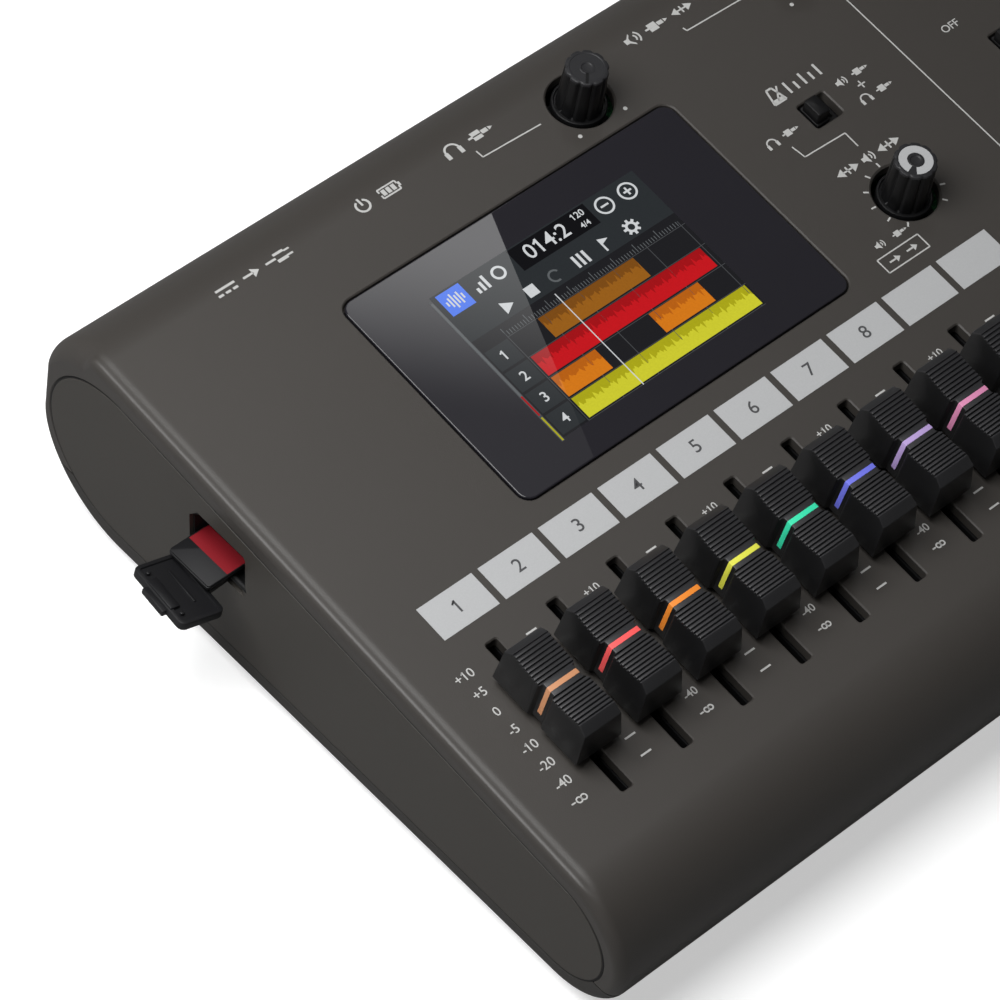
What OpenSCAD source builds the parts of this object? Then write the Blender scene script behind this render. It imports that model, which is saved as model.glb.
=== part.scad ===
// Desktop digital multitrack recorder: a wedge-shaped plastic case with ten channel faders,
// a colour screen, fluted knobs and a memory card half in its slot on the left end.
// Units are millimetres. Front faces -Y, X runs to the right, Z is up, feet stand on Z = 0.

/* [Case] */
// Width of the case between its two end planes
case_w = 264; // [240:1:300]
// Depth of the case from nose to rear
case_d = 156.5; // [150:0.5:175]
// Slope of the control panel, rear end higher
panel_tilt = 7.2; // [5:0.1:9]
// Radius of the round front nose
nose_r = 16.1; // [15:0.1:18]
// Radius of the lower rear corner
rear_low_r = 21.5; // [19:0.5:24]
// Radius of the upper rear corner
rear_top_r = 15; // [12:0.5:16]
// How far the upper rear corner sits in from the rearmost line
rear_top_in = 1.3; // [0.5:0.1:3]
// Wall thickness of the moulded shells
wall = 2.4; // [2:0.1:2.6]
// Wall thickness at the two ends
end_wall = 3.6; // [3.2:0.1:4.4]
// Width of the lower ledge at each end of the panel
ledge_w = 2.2; // [1.5:0.1:3]
// Drop of that ledge below the panel
ledge_drop = 0.5; // [0.3:0.1:0.8]

/* [End panels] */
// Thickness of an end panel
end_panel_t = 1.5; // [1.2:0.1:2]
// How far an end panel stands proud of the end plane
end_panel_proud = 0.2; // [0.1:0.05:0.4]
// Seam gap round an end panel
end_panel_gap = 0.25; // [0.2:0.05:0.4]
// Margin of the end panel at the nose, above and below
end_margin = 4.4; // [3.5:0.1:5]
// Margin of the end panel at the rear
rear_margin = 2.5; // [2:0.1:4]

/* [Card bay] */
// Length of the card opening in the left end panel
card_open_l = 16.4; // [15:0.1:18]
// Height of the card opening
card_open_h = 11.4; // [10.8:0.1:13]
// Distance of the opening's middle behind the middle of the case
card_open_y = 27.7; // [26:0.1:30]
// Height of the opening's lower edge above the case bottom
card_open_z = 22.3; // [21.5:0.1:23]
// Card length
card_l = 15; // [14.5:0.5:16]
// Card width
card_w = 11; // [10.5:0.1:11.5]
// Card thickness
card_t = 1; // [0.8:0.1:1.1]
// How far the card stands out of the end plane
card_out = 5.5; // [4:0.1:6]
// Height of the card's underside above the opening's lower edge
card_up = 3.2; // [3:0.1:3.6]
// How far the hanging card door reaches from the end plane
door_reach = 15.1; // [14.5:0.1:17]
// Length of the card door along the case
door_l = 15.6; // [12:0.1:16]
// Upward lean of the hanging card door
door_lean = 14.5; // [12:0.5:24]
// Turn of the hanging card door away from the case at its front end
door_twist = 5; // [0:0.5:6]
// How far the hanging card door sits to the front of its opening
door_aside = 0.5; // [0:0.1:1.5]
// Thickness of the card door
door_t = 1.9; // [1.6:0.1:2]
// Radius of the bar that the door's strap turns on
door_bar_r = 0.6; // [0.5:0.05:0.7]

/* [Faders] */
// Number of faders
fader_n = 10; // [10:1:10]
// Spacing of the faders
fader_pitch = 13.89; // [13.4:0.01:14.2]
// Middle of the first fader from the left end plane
fader_in = 19.3; // [18.5:0.1:22]
// Middle of the slots up the panel from its front edge
slot_v = 24.7; // [24:0.1:26]
// Slot length
slot_l = 35.6; // [35:0.1:38]
// Slot width
slot_w = 2.6; // [2.4:0.1:3]
// Rest place of the caps above the slot's middle
cap_rest = 0.9; // [-2:0.1:2]
// Length of a cap at its foot
cap_l = 21.8; // [20:0.1:23]
// Width of a cap at its foot
cap_w = 10.4; // [9:0.1:11]
// Width of a cap at its top
cap_top_w = 7.8; // [7:0.1:8.4]
// Width of a cap's waist at the coloured line
cap_waist_w = 6.3; // [5.5:0.1:6.8]
// Height of a cap's two ends above the panel
cap_h = 10.9; // [10:0.1:12]
// Height of a cap's foot above the panel
cap_foot = 1.6; // [1:0.1:2]
// Depth of the valley between a cap's two ends
cap_dip = 0.8; // [0.5:0.1:1.2]
// Width of the coloured line
line_w = 1.3; // [1:0.1:1.6]
// Depth of the coloured line's inlay
line_t = 0.5; // [0.4:0.1:0.7]

/* [Knobs] */
// Radius of the round opening round a knob
knob_hole_r = 6.45; // [6.2:0.05:7]
// Radius of a knob's flange
knob_flange_r = 5.5; // [5.2:0.1:5.8]
// Radius of a knob at its top
knob_top_r = 4.1; // [3.8:0.1:4.4]
// Height of a knob above the panel
knob_h = 9.7; // [9:0.1:11]
// Number of flutes round a knob
knob_flutes = 10; // [8:1:12]
// Radius of a knob's shaft
shaft_r = 3; // [2.8:0.1:3.1]
// Running clearance of a shaft in its bushing
shaft_gap = 0.05; // [0.03:0.01:0.08]

/* [Screen] */
// Width of the screen glass
glass_w = 79; // [76:0.5:80]
// Length of the screen glass up the panel
glass_l = 51.3; // [48:0.1:52]
// Corner radius of the glass
glass_r = 2.5; // [1.5:0.1:4]
// Thickness of the glass
glass_t = 1.6; // [1.4:0.1:1.7]
// Gap round the glass
glass_gap = 0.35; // [0.2:0.05:0.5]
// Left edge of the glass from the left end plane
glass_in = 42.8; // [41:0.1:44]
// Distance from the rear edge of the glass to the row of the rear knobs
glass_v = 9.8; // [9:0.1:11]
// Width of the display behind the glass
lcd_w = 58; // [56:0.5:60]
// Length of the display behind the glass
lcd_l = 43; // [41:0.5:44]

/* [Controls] */
// Width of a transport button
button_w = 20; // [18:0.5:21]
// Length of a transport button
button_l = 13; // [12:0.5:14]
// Height of a button above the panel
button_h = 1.5; // [1:0.1:2]
// Press travel of a button
button_travel = 0.7; // [0.5:0.1:0.8]
// Width of a slide switch window
switch_w = 6.8; // [6.4:0.1:7.5]
// Length of a slide switch window
switch_l = 6.1; // [5.6:0.1:6.5]
// Travel of a slide switch
switch_travel = 2.6; // [2:0.1:2.6]
// Place of the balance knob and the click switch from the left end plane
centre_u = 144.5; // [143:0.1:146]
// Place of the phones knob from the left end plane
phones_u = 109; // [106:0.1:112]
// Place of the output knob from the left end plane
output_u = 162.7; // [160:0.1:166]
// Distance of the phones and output knobs down from the panel's rear edge
rear_knob_v = 4.2; // [3:0.1:6]
// Distance of the last transport button from the right end plane
button_in = 26; // [24:0.5:30]

/* [Inside] */
// Depth of the main board's face below the panel
board_n = 10.4; // [10.2:0.1:11]
// Thickness of the boards
board_t = 1.6; // [1.2:0.1:1.6]
// Battery radius
cell_r = 7.1; // [6.9:0.05:7.25]
// Battery length
cell_l = 50; // [49:0.1:50.5]
// Height of the rubber feet
foot_h = 2; // [1.5:0.1:3]
// Radius of the rubber feet
foot_r = 7; // [6:0.5:8]
// Clearance between a moving piece and what it moves in
run_gap = 0.3; // [0.3:0.05:0.4]

/* [Rear jacks] */
// Depth of the flat rear jack face in from the rearmost line
rear_recess = 8; // [7:0.1:9]
// Height of the jack face opening
recess_h = 24; // [23:0.1:24.5]
// Radius of a jack bore
jack_r = 3.3; // [3.25:0.01:3.35]
// Radius of a jack collar
collar_r = 4.6; // [4.4:0.1:5.2]
// Radius of an input socket's round face
combo_r = 11; // [10.5:0.1:11.2]
// Distance of the last input socket from the right end plane
combo_in = 36.3; // [34:0.1:40]
// Spacing of the input sockets and of the gain knobs above them
combo_step = 38; // [36:0.5:40]

/* [Hidden] */
$fn = 64;
eps = 0.01;
// Straight steps in each arc of the case outline
arc_steps = 24;
// Centres of the three circles that the case's side outline is drawn round
nose_y = -case_d / 2 + nose_r;
low_y = case_d / 2 - rear_low_r;
top_y = case_d / 2 - rear_top_in - rear_top_r;
top_z = nose_r + (nose_r - rear_top_r + (top_y - nose_y) * sin(panel_tilt)) / cos(panel_tilt);
// Front edge of the flat panel
edge_y = nose_y - nose_r * sin(panel_tilt);
edge_z = nose_r + nose_r * cos(panel_tilt);
// Length of the flat panel up to where the upper rear corner starts to roll
flat_v = (top_y - nose_y) * cos(panel_tilt) + (top_z - nose_r) * sin(panel_tilt);
// End panel outline
oval_nose_r = nose_r - end_margin;
oval_rear_r = rear_low_r - rear_margin;
// Jack face
face_y = case_d / 2 - rear_recess;
inner_y = face_y - wall;
jack_z = rear_low_r;
// The seam between top case and bottom case runs along the lower edge of the rear recess
seam_h = jack_z - recess_h / 2;
recess_w = case_w - 2 * end_wall - 2 * rear_low_r;
// Rear jacks, from the left end plane
phones_jack_u = phones_u - 24;
output_jack_u = [output_u - 40, output_u - 17];
combo_u = [case_w - combo_in - combo_step, case_w - combo_in];
usb_u = phones_u - 45;
power_u = phones_u - 73;
usb_z = jack_z - recess_h / 2 + 4;
// Jack board stands under the jacks
jack_board_z = jack_z - combo_r;
jack_d = 24;
// Controls that the photograph's frame cuts off
gain_u = combo_u;
knob_row_v = flat_v - rear_knob_v;
gain_v = knob_row_v - 13;
row_2_v = knob_row_v - 28;
balance_v = knob_row_v - 51.3;
glass_front_v = knob_row_v - glass_v - glass_l;
phantom_u = gain_u[0] - 3.5;
hi_z_u = gain_u[1] - 3.5;
button_row_1 = slot_v + 2;
button_row_2 = button_row_1 + button_l + 9;
button_step = button_w + 7;
button_u = case_w - button_in - 2 * button_step;
button_gap = run_gap;
// Places of the knobs, as distance from the left end plane and up the panel
knob_at = [[phones_u, knob_row_v], [output_u, knob_row_v], [centre_u, balance_v],
  [gain_u[0], gain_v], [gain_u[1], gain_v]];
switch_at = [[centre_u, row_2_v], [phantom_u, row_2_v - 9], [hi_z_u, row_2_v - 9]];
button_at = [[button_u + button_step / 2, button_row_2], [button_u + 1.5 * button_step, button_row_2],
  [button_u, button_row_1], [button_u + button_step, button_row_1],
  [button_u + 2 * button_step, button_row_1]];
led_at = [[gain_u[0] + 12, gain_v], [gain_u[1] + 12, gain_v]];
led_r = 1;
// Case screws and board screws
boss_x = case_w / 2 - end_wall - 4.9;
boss_at = [[-boss_x, nose_y + 10], [boss_x, nose_y + 10], [-boss_x, low_y - 7], [boss_x, low_y - 7]];
boss_r = 3.5;
screw_r = 1.3;
head_r = 2.8;
head_deep = 2;
board_u0 = 13;
board_v0 = 2;
board_l = flat_v - board_v0 - 1.2;
boss_v = slot_v + slot_l / 2 + 11;
board_boss = [[board_u0 + 5, boss_v], [phones_u + 20, boss_v], [case_w - board_u0 - 5, boss_v],
  [board_u0 + 8, knob_row_v - 7], [phones_u + 26, knob_row_v - 11], [case_w - board_u0 - 5,
    knob_row_v - 7]];
pot_w = 10;
pot_h = 5;
// Batteries lie in two rows of two
bay_x = 2 * cell_l + 6;
bay_y = 4 * cell_r + 2.6;
bay_mid = nose_y + nose_r + bay_y / 2 + 8;
bay_wall = 1.6;
door_plate = wall - 0.4;
cell_z = wall + cell_r;
bay_top = cell_z + cell_r + 1.6;
// Card
card_y = card_open_y + 1.7;
card_z = card_open_z + card_up;
card_travel_in = 8;
socket_l = card_l + 1.5;
socket_in = case_w / 2 - end_wall;
// Bar of the card door
bar_x = -case_w / 2 + 0.8;
bar_z = card_open_z + door_bar_r + 1;
eye_r = door_bar_r + 0.5;
strap_w = 6;
door_in = 4.8;
door_tab = 0.9;
door_len = (door_reach - door_in - 3 * sin(door_twist)) / (cos(door_lean) * cos(door_twist))
  - door_tab;
// Fader sizes
track_w = 8.5;
track_l = slot_l + 9.4;
track_h = board_n - wall - 1;
lever_w = slot_w - 1;
lever_l = 4.4;
facet = 1.9;
valley_r = (pow(cap_l / 2 - facet - 0.5, 2) + cap_dip * cap_dip) / (2 * cap_dip);
side_lean = atan((cap_w - cap_top_w) / 2 / (cap_h - cap_foot));

// Every piece is drawn round the middle of the case bottom, then set on the feet and moved
// along by half the reach of the card door, so that the origin is the middle of the whole box
module in_frame() { translate([(door_reach - end_panel_proud) / 2, 0, foot_h]) children(); }

// Panel frame: u from the left end plane, v up the slope from the panel's front edge
module on_panel(u, v) {
  translate([u - case_w / 2, edge_y, edge_z]) rotate([panel_tilt, 0, 0]) translate([0, v, 0])
    children();
}

// A side outline in Y and Z swept along X
module along_x(len) { rotate([90, 0, 90]) linear_extrude(height = len, center = true) children(); }

function turn(a, ra, b, rb) = atan2(b[1] - a[1], b[0] - a[0]) - acos((ra - rb) / norm(b - a));
function rim(c, r, t) = [c[0] + r * cos(t), c[1] + r * sin(t)];

// Points of an arc about c from one angle to another
function arc(c, r, from, to) = [for (i = [0 : arc_steps]) rim(c, r, from + (to - from)
  * i / arc_steps)];
// The same angle written as the first one after another, so that an arc runs one way round
function after(t, from) = t < from ? after(t + 360, from) : t >= from + 360 ? after(t - 360, from) : t;

// Outline drawn tight round three circles, as straight runs between three arcs
module round_three(a, ra, b, rb, c, rc) {
  ab = turn(a, ra, b, rb);
  bc = turn(b, rb, c, rc);
  ca = turn(c, rc, a, ra);
  polygon(concat(arc(a, ra, ca, after(ab, ca)), arc(b, rb, ab, after(bc, ab)), arc(c, rc, bc,
    after(ca, bc))));
}

module outline(d) {
  round_three([nose_y, nose_r], nose_r - d, [low_y, rear_low_r], rear_low_r - d,
    [top_y, top_z], rear_top_r - d);
}

module oval(d) {
  a = [nose_y, nose_r];
  b = [low_y, end_margin + oval_rear_r];
  ab = turn(a, oval_nose_r, b, oval_rear_r);
  ba = turn(b, oval_rear_r, a, oval_nose_r);
  polygon(concat(arc(a, oval_nose_r - d, ba, after(ab, ba)), arc(b, oval_rear_r - d, ab, after(ba, ab))));
}

module block(x, y, z, at) { translate(at) translate([-x / 2, -y / 2, 0]) cube([x, y, z]); }

// Rectangle with round corners, standing on its plane
module pad(x, y, r, h) {
  block(x - 2 * r, y, h, [0, 0, 0]);
  block(x, y - 2 * r, h, [0, 0, 0]);
  for (sx = [-1, 1], sy = [-1, 1]) translate([sx * (x / 2 - r), sy * (y / 2 - r), 0]) cylinder(r = r,
    h = h);
}

module case_solid() {
  along_x(case_w - 2 * ledge_w) outline(0);
  along_x(case_w) outline(ledge_drop);
}

module cavity() {
  difference() {
    along_x(case_w - 2 * end_wall) outline(wall);
    block(recess_w + 2 * wall, 2 * rear_recess + 2 * wall, recess_h + 2 * wall,
      [0, inner_y + rear_recess + wall, jack_z - recess_h / 2 - wall]);
  }
}

module end_pockets() {
  for (s = [-1, 1]) translate([s * (case_w / 2 - (end_panel_t - end_panel_proud) / 2), 0, 0])
    along_x(end_panel_t - end_panel_proud + eps) oval(0);
}

module card_opening(grow, depth) {
  cut = 2.2;
  y0 = card_open_y - card_open_l / 2 - grow;
  y1 = card_open_y + card_open_l / 2 + grow;
  z0 = card_open_z - grow;
  z1 = card_open_z + card_open_h + grow;
  translate([-case_w / 2 - depth / 2 + end_wall + eps, 0, 0]) along_x(depth + 2 * eps)
    polygon([[y0 + cut / 2, z0], [y1, z0], [y1, z1 - cut], [y1 - cut, z1], [y0 + cut / 2, z1], [y0,
      z1 - cut / 2],
      [y0, z0 + cut / 2]]);
}

module panel_cuts() {
  for (i = [0 : fader_n - 1]) on_panel(fader_in + i * fader_pitch, slot_v)
    translate([0, 0, -2 * wall]) pad(slot_w, slot_l, 0.6, 3 * wall);
  on_panel(glass_in + glass_w / 2, glass_front_v + glass_l / 2) {
    translate([0, 0, -glass_t]) pad(glass_w + 2 * glass_gap, glass_l + 2 * glass_gap,
      glass_r + glass_gap, 2 * wall);
    translate([0, 0, -2 * wall]) pad(glass_w - 5, glass_l - 5, glass_r, 3 * wall);
  }
  for (k = knob_at) on_panel(k[0], k[1]) translate([0, 0, -2 * wall]) cylinder(r = knob_hole_r,
    h = 3 * wall);
  for (k = switch_at) on_panel(k[0], k[1]) translate([0, 0, -2 * wall]) pad(switch_w, switch_l, 0.6,
    3 * wall);
  for (k = button_at) on_panel(k[0], k[1])
    translate([0, 0, -2 * wall]) pad(button_w + 2 * button_gap, button_l + 2 * button_gap, 2, 3 * wall);
  for (k = led_at) on_panel(k[0], k[1]) translate([0, 0, -2 * wall]) cylinder(r = led_r, h = 3 * wall);
}

module rear_hole(u, z, r) {
  translate([u - case_w / 2, inner_y - eps, z]) rotate([-90, 0, 0]) cylinder(r = r, h = wall + 2 * eps);
}

module rear_cuts() {
  block(recess_w, 2 * rear_recess, recess_h, [0, face_y + rear_recess, jack_z - recess_h / 2]);
  rear_hole(phones_jack_u, jack_z, collar_r);
  for (u = output_jack_u) rear_hole(u, jack_z, collar_r);
  for (u = combo_u) rear_hole(u, jack_z, combo_r);
  rear_hole(power_u, jack_z, 3 + run_gap);
  translate([usb_u - case_w / 2, inner_y - eps, usb_z]) rotate([-90, 0, 0])
    translate([0, 0, 0]) pad(9.4, 3.7, 1.8, wall + 2 * eps);
}

module top_case() color("#56544f") in_frame() difference() {
  union() {
    difference() {
      case_solid();
      cavity();
    }
    intersection() {
      along_x(case_w - 2 * end_wall) outline(wall / 2);
      union() {
        for (b = boss_at) translate([b[0], b[1], seam_h]) cylinder(r = boss_r, h = case_d);
        for (b = board_boss) on_panel(b[0], b[1]) translate([0, 0, -board_n]) cylinder(r = 2.6,
          h = board_n);
      }
    }
  }
  translate([-case_w, -case_d, -case_w]) cube([2 * case_w, 2 * case_d, case_w + seam_h]);
  end_pockets();
  card_opening(0, 3 * end_wall);
  panel_cuts();
  rear_cuts();
  for (b = boss_at) translate([b[0], b[1], 0]) cylinder(r = screw_r, h = seam_h + 12);
  for (b = board_boss) on_panel(b[0], b[1]) translate([0, 0, -board_n - eps]) cylinder(r = 0.9, h = 5);
}

module bottom_case() color("#3a3836") in_frame() difference() {
  union() {
    difference() {
      case_solid();
      cavity();
      translate([-case_w, -case_d, seam_h]) cube([2 * case_w, 2 * case_d, case_w]);
    }
    block(bay_x + 2 * bay_wall, bay_y + 2 * bay_wall, bay_top + bay_wall, [0, bay_mid, 0]);
    for (b = boss_at) translate([b[0], b[1], wall / 2]) cylinder(r = boss_r, h = seam_h - wall / 2);
    for (x = [-recess_w / 2 + 6, -13, 42, recess_w / 2 - 6]) translate([x, inner_y - jack_d - 2,
      wall / 2])
      cylinder(r = 3, h = jack_board_z - board_t - wall / 2);
  }
  block(bay_x, bay_y, bay_top + eps, [0, bay_mid, -eps]);
  end_pockets();
  for (b = boss_at) translate([b[0], b[1], -eps]) {
    cylinder(r = screw_r, h = 2 * seam_h);
    cylinder(r = head_r, h = head_deep + eps);
  }
  for (x = [-1, 1], y = [0, 1]) translate([x * (boss_x - 17), y * (low_y - foot_r - 1) + (1 - y)
    * (nose_y + foot_r + 1), -eps])
    cylinder(r = foot_r, h = 0.8);
}

module end_panel(s) {
  translate([s * (case_w / 2 + end_panel_proud - end_panel_t / 2), 0, 0]) along_x(end_panel_t)
    oval(end_panel_gap);
}

module left_end_panel() color("#454342") in_frame() {
  difference() {
    end_panel(-1);
    card_opening(-0.2, 3 * end_wall);
  }
  translate([bar_x, card_open_y - card_open_l / 2, bar_z]) rotate([-90, 0, 0])
    cylinder(r = door_bar_r, h = card_open_l);
}

module right_end_panel() color("#454342") in_frame() end_panel(1);

module screen_glass() color("#28272c") in_frame()
  on_panel(glass_in + glass_w / 2, glass_front_v + glass_l / 2)
    translate([0, 0, -glass_t]) pad(glass_w, glass_l, glass_r, glass_t);

module lcd_module() color("#15161a") in_frame()
  on_panel(glass_in + glass_w / 2 - 0.8, glass_front_v + glass_l / 2 - 0.7)
    translate([0, 0, -glass_t - 3.2]) block(lcd_w, lcd_l, 3.2, [0, 0, 0]);

module main_board() color("#1f5c3a") in_frame() difference() {
  on_panel(board_u0, board_v0) translate([0, 0, -board_n - board_t])
    cube([case_w - 2 * board_u0, board_l, board_t]);
  for (b = board_boss) on_panel(b[0], b[1]) translate([0, 0, -2 * board_n]) cylinder(r = 0.9,
    h = 2 * board_n);
}

module jack_board() color("#1f5c3a") in_frame()
  block(recess_w, jack_d + 6, board_t, [0, inner_y - jack_d / 2 - 3.2, jack_board_z - board_t]);

module fader_tracks() color("#2b2b2d") in_frame() for (i = [0 : fader_n - 1])
  on_panel(fader_in + i * fader_pitch, slot_v) difference() {
    block(track_w, track_l, track_h, [0, 0, -board_n]);
    block(slot_w + 0.2, slot_l + 3, track_h, [0, 0, 1 - board_n]);
  }

module pots() color("#8d8f92") in_frame() for (k = knob_at) on_panel(k[0], k[1]) difference() {
  union() {
    block(pot_w, pot_w, pot_h, [0, 0, -board_n]);
    translate([0, 0, -board_n]) cylinder(r = shaft_r + 1.4, h = board_n - 1.6);
  }
  translate([0, 0, 0.5 - board_n]) cylinder(r = shaft_r + shaft_gap, h = board_n);
}

module switch_bodies() color("#77797c") in_frame() for (k = switch_at) on_panel(k[0], k[1])
  difference() {
  block(switch_w + 3, switch_l + 1, board_n - wall - 0.4, [0, 0, -board_n]);
  block(switch_travel + 3, 2.4, 3, [0, 0, -wall - 2.4]);
}

module tact_switches() color("#202022") in_frame() {
  for (k = button_at) on_panel(k[0], k[1]) translate([0, 0, -board_n]) {
    block(6, 6, 2.6, [0, 0, 0]);
    cylinder(r = 1.6, h = 3.2);
  }
  translate([power_u - case_w / 2, inner_y - 10, 0]) {
    block(7, 4, jack_z - jack_board_z + 3.5, [0, 0, jack_board_z]);
    translate([0, 2 - eps, jack_z]) rotate([-90, 0, 0]) cylinder(r = 1.5, h = 0.8);
  }
}

module line_jack(u) {
  difference() {
    union() {
      block(16, jack_d, 2 * jack_z - 2 * jack_board_z - 4, [u - case_w / 2, inner_y - jack_d / 2,
        jack_board_z]);
      translate([u - case_w / 2, inner_y - eps, jack_z]) rotate([-90, 0, 0]) cylinder(r = collar_r,
        h = wall + 1.2);
    }
    translate([u - case_w / 2, inner_y - jack_d + 2, jack_z]) rotate([-90, 0, 0])
      cylinder(r = jack_r, h = jack_d + wall + 2);
  }
}

module line_jacks() color("#2a2a2c") in_frame() {
  line_jack(phones_jack_u);
  for (u = output_jack_u) line_jack(u);
}

module combo_jacks() color("#1e1e20") in_frame() for (u = combo_u) difference() {
  union() {
    block(2 * combo_r + 3, jack_d, 2 * combo_r, [u - case_w / 2, inner_y - jack_d / 2,
      jack_z - combo_r]);
    translate([u - case_w / 2, inner_y - eps, jack_z]) rotate([-90, 0, 0]) cylinder(r = combo_r,
      h = wall + 0.8);
  }
  translate([u - case_w / 2, inner_y - jack_d + 2, jack_z]) rotate([-90, 0, 0])
    cylinder(r = jack_r, h = jack_d + wall + 2);
  for (a = [0, 120, 240]) translate([u - case_w / 2 + 7 * sin(a), inner_y - 12, jack_z - 7 * cos(a)])
    rotate([-90, 0, 0]) cylinder(r = 1.5, h = 20);
}

module usb_port() color("#a8aaad") in_frame() translate([usb_u - case_w / 2, 0, 0]) {
  block(8, 5, usb_z - 1.2 - jack_board_z, [0, inner_y - 2.6, jack_board_z]);
  translate([0, face_y - 7.4, usb_z]) rotate([-90, 0, 0]) difference() {
    pad(9, 3.3, 1.6, 7.4);
    translate([0, 0, 1]) pad(8.3, 2.6, 1.25, 7.4);
    }
  block(6.6, 5.6, 0.7, [0, face_y - 3.9, usb_z - 0.35]);
}

module card_socket() color("#b4b6b8") in_frame() {
  difference() {
    block(socket_l, card_w + 3, 3.2, [-socket_in + socket_l / 2, card_y, card_z - 1]);
    block(socket_l, card_w + 0.8, card_t + 0.8, [-socket_in + socket_l / 2 - 1, card_y, card_z - 0.4]);
  }
  intersection() {
    on_panel(board_u0, 0) translate([0, 0, -board_n - board_t - 20]) cube([12, board_l, 20]);
    block(10, 9, 20, [-case_w / 2 + board_u0 + 4, card_y, card_z + 2]);
  }
}

module leds() color("#b03028") in_frame() for (k = led_at) on_panel(k[0], k[1])
  translate([0, 0, -board_n]) {
    cylinder(r = led_r, h = board_n);
    cylinder(r = 1.5, h = board_n - wall - 1);
  }

module feet() color("#1a1a1b") in_frame() for (x = [-1, 1], y = [0, 1])
  translate([x * (boss_x - 17), y * (low_y - foot_r - 1) + (1 - y) * (nose_y + foot_r + 1), -foot_h])
    cylinder(r = foot_r, h = foot_h + 0.79);

module screws() color("#9a9c9f") in_frame() for (b = boss_at) translate([b[0], b[1], 0.3])
  difference() {
  union() {
    cylinder(r = head_r - 0.05, h = head_deep - 0.3 - eps);
    cylinder(r = screw_r, h = seam_h + 10);
  }
  for (a = [0, 90]) rotate([0, 0, a]) block(3, 0.7, 0.9, [0, 0, -eps]);
}

module batteries() color("#4a6a8c") in_frame() for (s = [-1, 1], r = [-1, 1])
  translate([s * (cell_l / 2 + 1), bay_mid + r * (cell_r + 0.5), cell_z]) rotate([0, 90, 0]) {
    translate([0, 0, -cell_l / 2]) cylinder(r = cell_r, h = cell_l - 1.4);
    translate([0, 0, cell_l / 2 - 1.4 - eps]) cylinder(r = 2.7, h = 1.4);
  }

module battery_contacts() color("#c9cbcd") in_frame() for (r = [-1, 1]) {
  for (s = [-1, 1]) block(2, 9, 9, [s * (cell_l + 2), bay_mid + r * (cell_r + 0.5), cell_z - 4.5]);
  block(2, 8, bay_top - cell_z + 4, [0, bay_mid + r * (cell_r + 0.5), cell_z - 4]);
}

module battery_door() color("#343230") in_frame() difference() {
  block(bay_x - 2 * run_gap, bay_y - 2 * run_gap, door_plate, [0, bay_mid, 0]);
  for (i = [-2 : 2]) block(14, 1, 0.5, [0, bay_mid - bay_y / 2 + 9 + 2 * i, -eps]);
}

module memory_card() color("#1c1c1e") in_frame()
  block(card_l, card_w, card_t, [-case_w / 2 - card_out + card_l / 2, card_y, card_z]);

// The door hangs on a strap; its flat cover leans up away from the case
module card_door() color("#2c2c2e") in_frame() {
  low = card_open_z + 0.25;
  translate([-case_w / 2 - door_in, card_open_y - door_aside, low]) rotate([0, 0, -door_twist])
    rotate([0, door_lean, 0]) difference() {
    union() {
      translate([-door_len / 2, 0, 0]) rotate([0, 0, 90]) pad(door_l, door_len, 1.2, door_t);
      block(2 * door_tab, 6, door_t - 0.7, [-door_len, 0, 0]);
    }
    block(1, 8, 0.4, [-door_len / 2 + 0.6, 0, door_t - 0.4 + eps]);
  }
  difference() {
    union() {
      translate([bar_x, card_open_y - strap_w / 2, bar_z]) rotate([-90, 0, 0]) cylinder(r = eye_r,
        h = strap_w);
      translate([0, card_open_y + strap_w / 2, 0]) rotate([90, 0, 0]) linear_extrude(height = strap_w)
        polygon([[bar_x, bar_z - 0.5], [bar_x, bar_z + 0.5], [-case_w / 2 - door_in - 0.8, low + 1.3],
          [-case_w / 2 - door_in - 0.8, low + 0.4]]);
    }
    translate([bar_x, card_open_y - strap_w, bar_z]) rotate([-90, 0, 0])
      cylinder(r = door_bar_r + shaft_gap, h = 2 * strap_w);
  }
}

// Saddle-shaped cap with its skin taken in by d
module cap_solid(d) {
  intersection() {
    translate([-cap_w, 0, 0]) rotate([90, 0, 90]) linear_extrude(height = 2 * cap_w) difference() {
      polygon([[-cap_l / 2, cap_foot], [cap_l / 2, cap_foot], [cap_l / 2 - 0.5, cap_h - 1.5],
        [cap_l / 2 - 0.5 - facet, cap_h], [facet + 0.5 - cap_l / 2, cap_h], [0.5 - cap_l / 2,
          cap_h - 1.5]]);
      translate([0, cap_h - cap_dip - d + valley_r]) circle(valley_r, $fn = 128);
    }
    translate([0, cap_l, 0]) rotate([90, 0, 0]) linear_extrude(height = 2 * cap_l)
      polygon([[d - cap_w / 2, cap_foot], [cap_w / 2 - d, cap_foot], [cap_top_w / 2 - d, cap_h],
        [d - cap_top_w / 2, cap_h]]);
    difference() {
      block(2 * cap_w, 2 * cap_l, 2 * cap_h, [0, 0, 0]);
      for (s = [-1, 1]) translate([s * (cap_waist_w / 2 - d), 0, cap_h]) rotate([0, -s * side_lean, 0])
        translate([0, 0, -2 * cap_h]) linear_extrude(height = 3 * cap_h)
          polygon([[0, -1.4], [0, 1.4], [s * 3, 3.2], [s * 3, -3.2]]);
    }
  }
}

module cap_line() {
  intersection() {
    difference() {
      cap_solid(0);
      cap_solid(line_t);
    }
    block(2 * cap_w, line_w, 2 * cap_h, [0, 0, cap_foot + 1.6]);
  }
}

module fader(i) in_frame() on_panel(fader_in + (i - 1) * fader_pitch, slot_v + cap_rest) {
  difference() {
    cap_solid(0);
    cap_line();
  }
  block(lever_w, lever_l, board_n + cap_foot - 2 + eps, [0, 0, 2 - board_n]);
}

module fader_line(i) in_frame() on_panel(fader_in + (i - 1) * fader_pitch, slot_v + cap_rest)
  cap_line();

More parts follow.
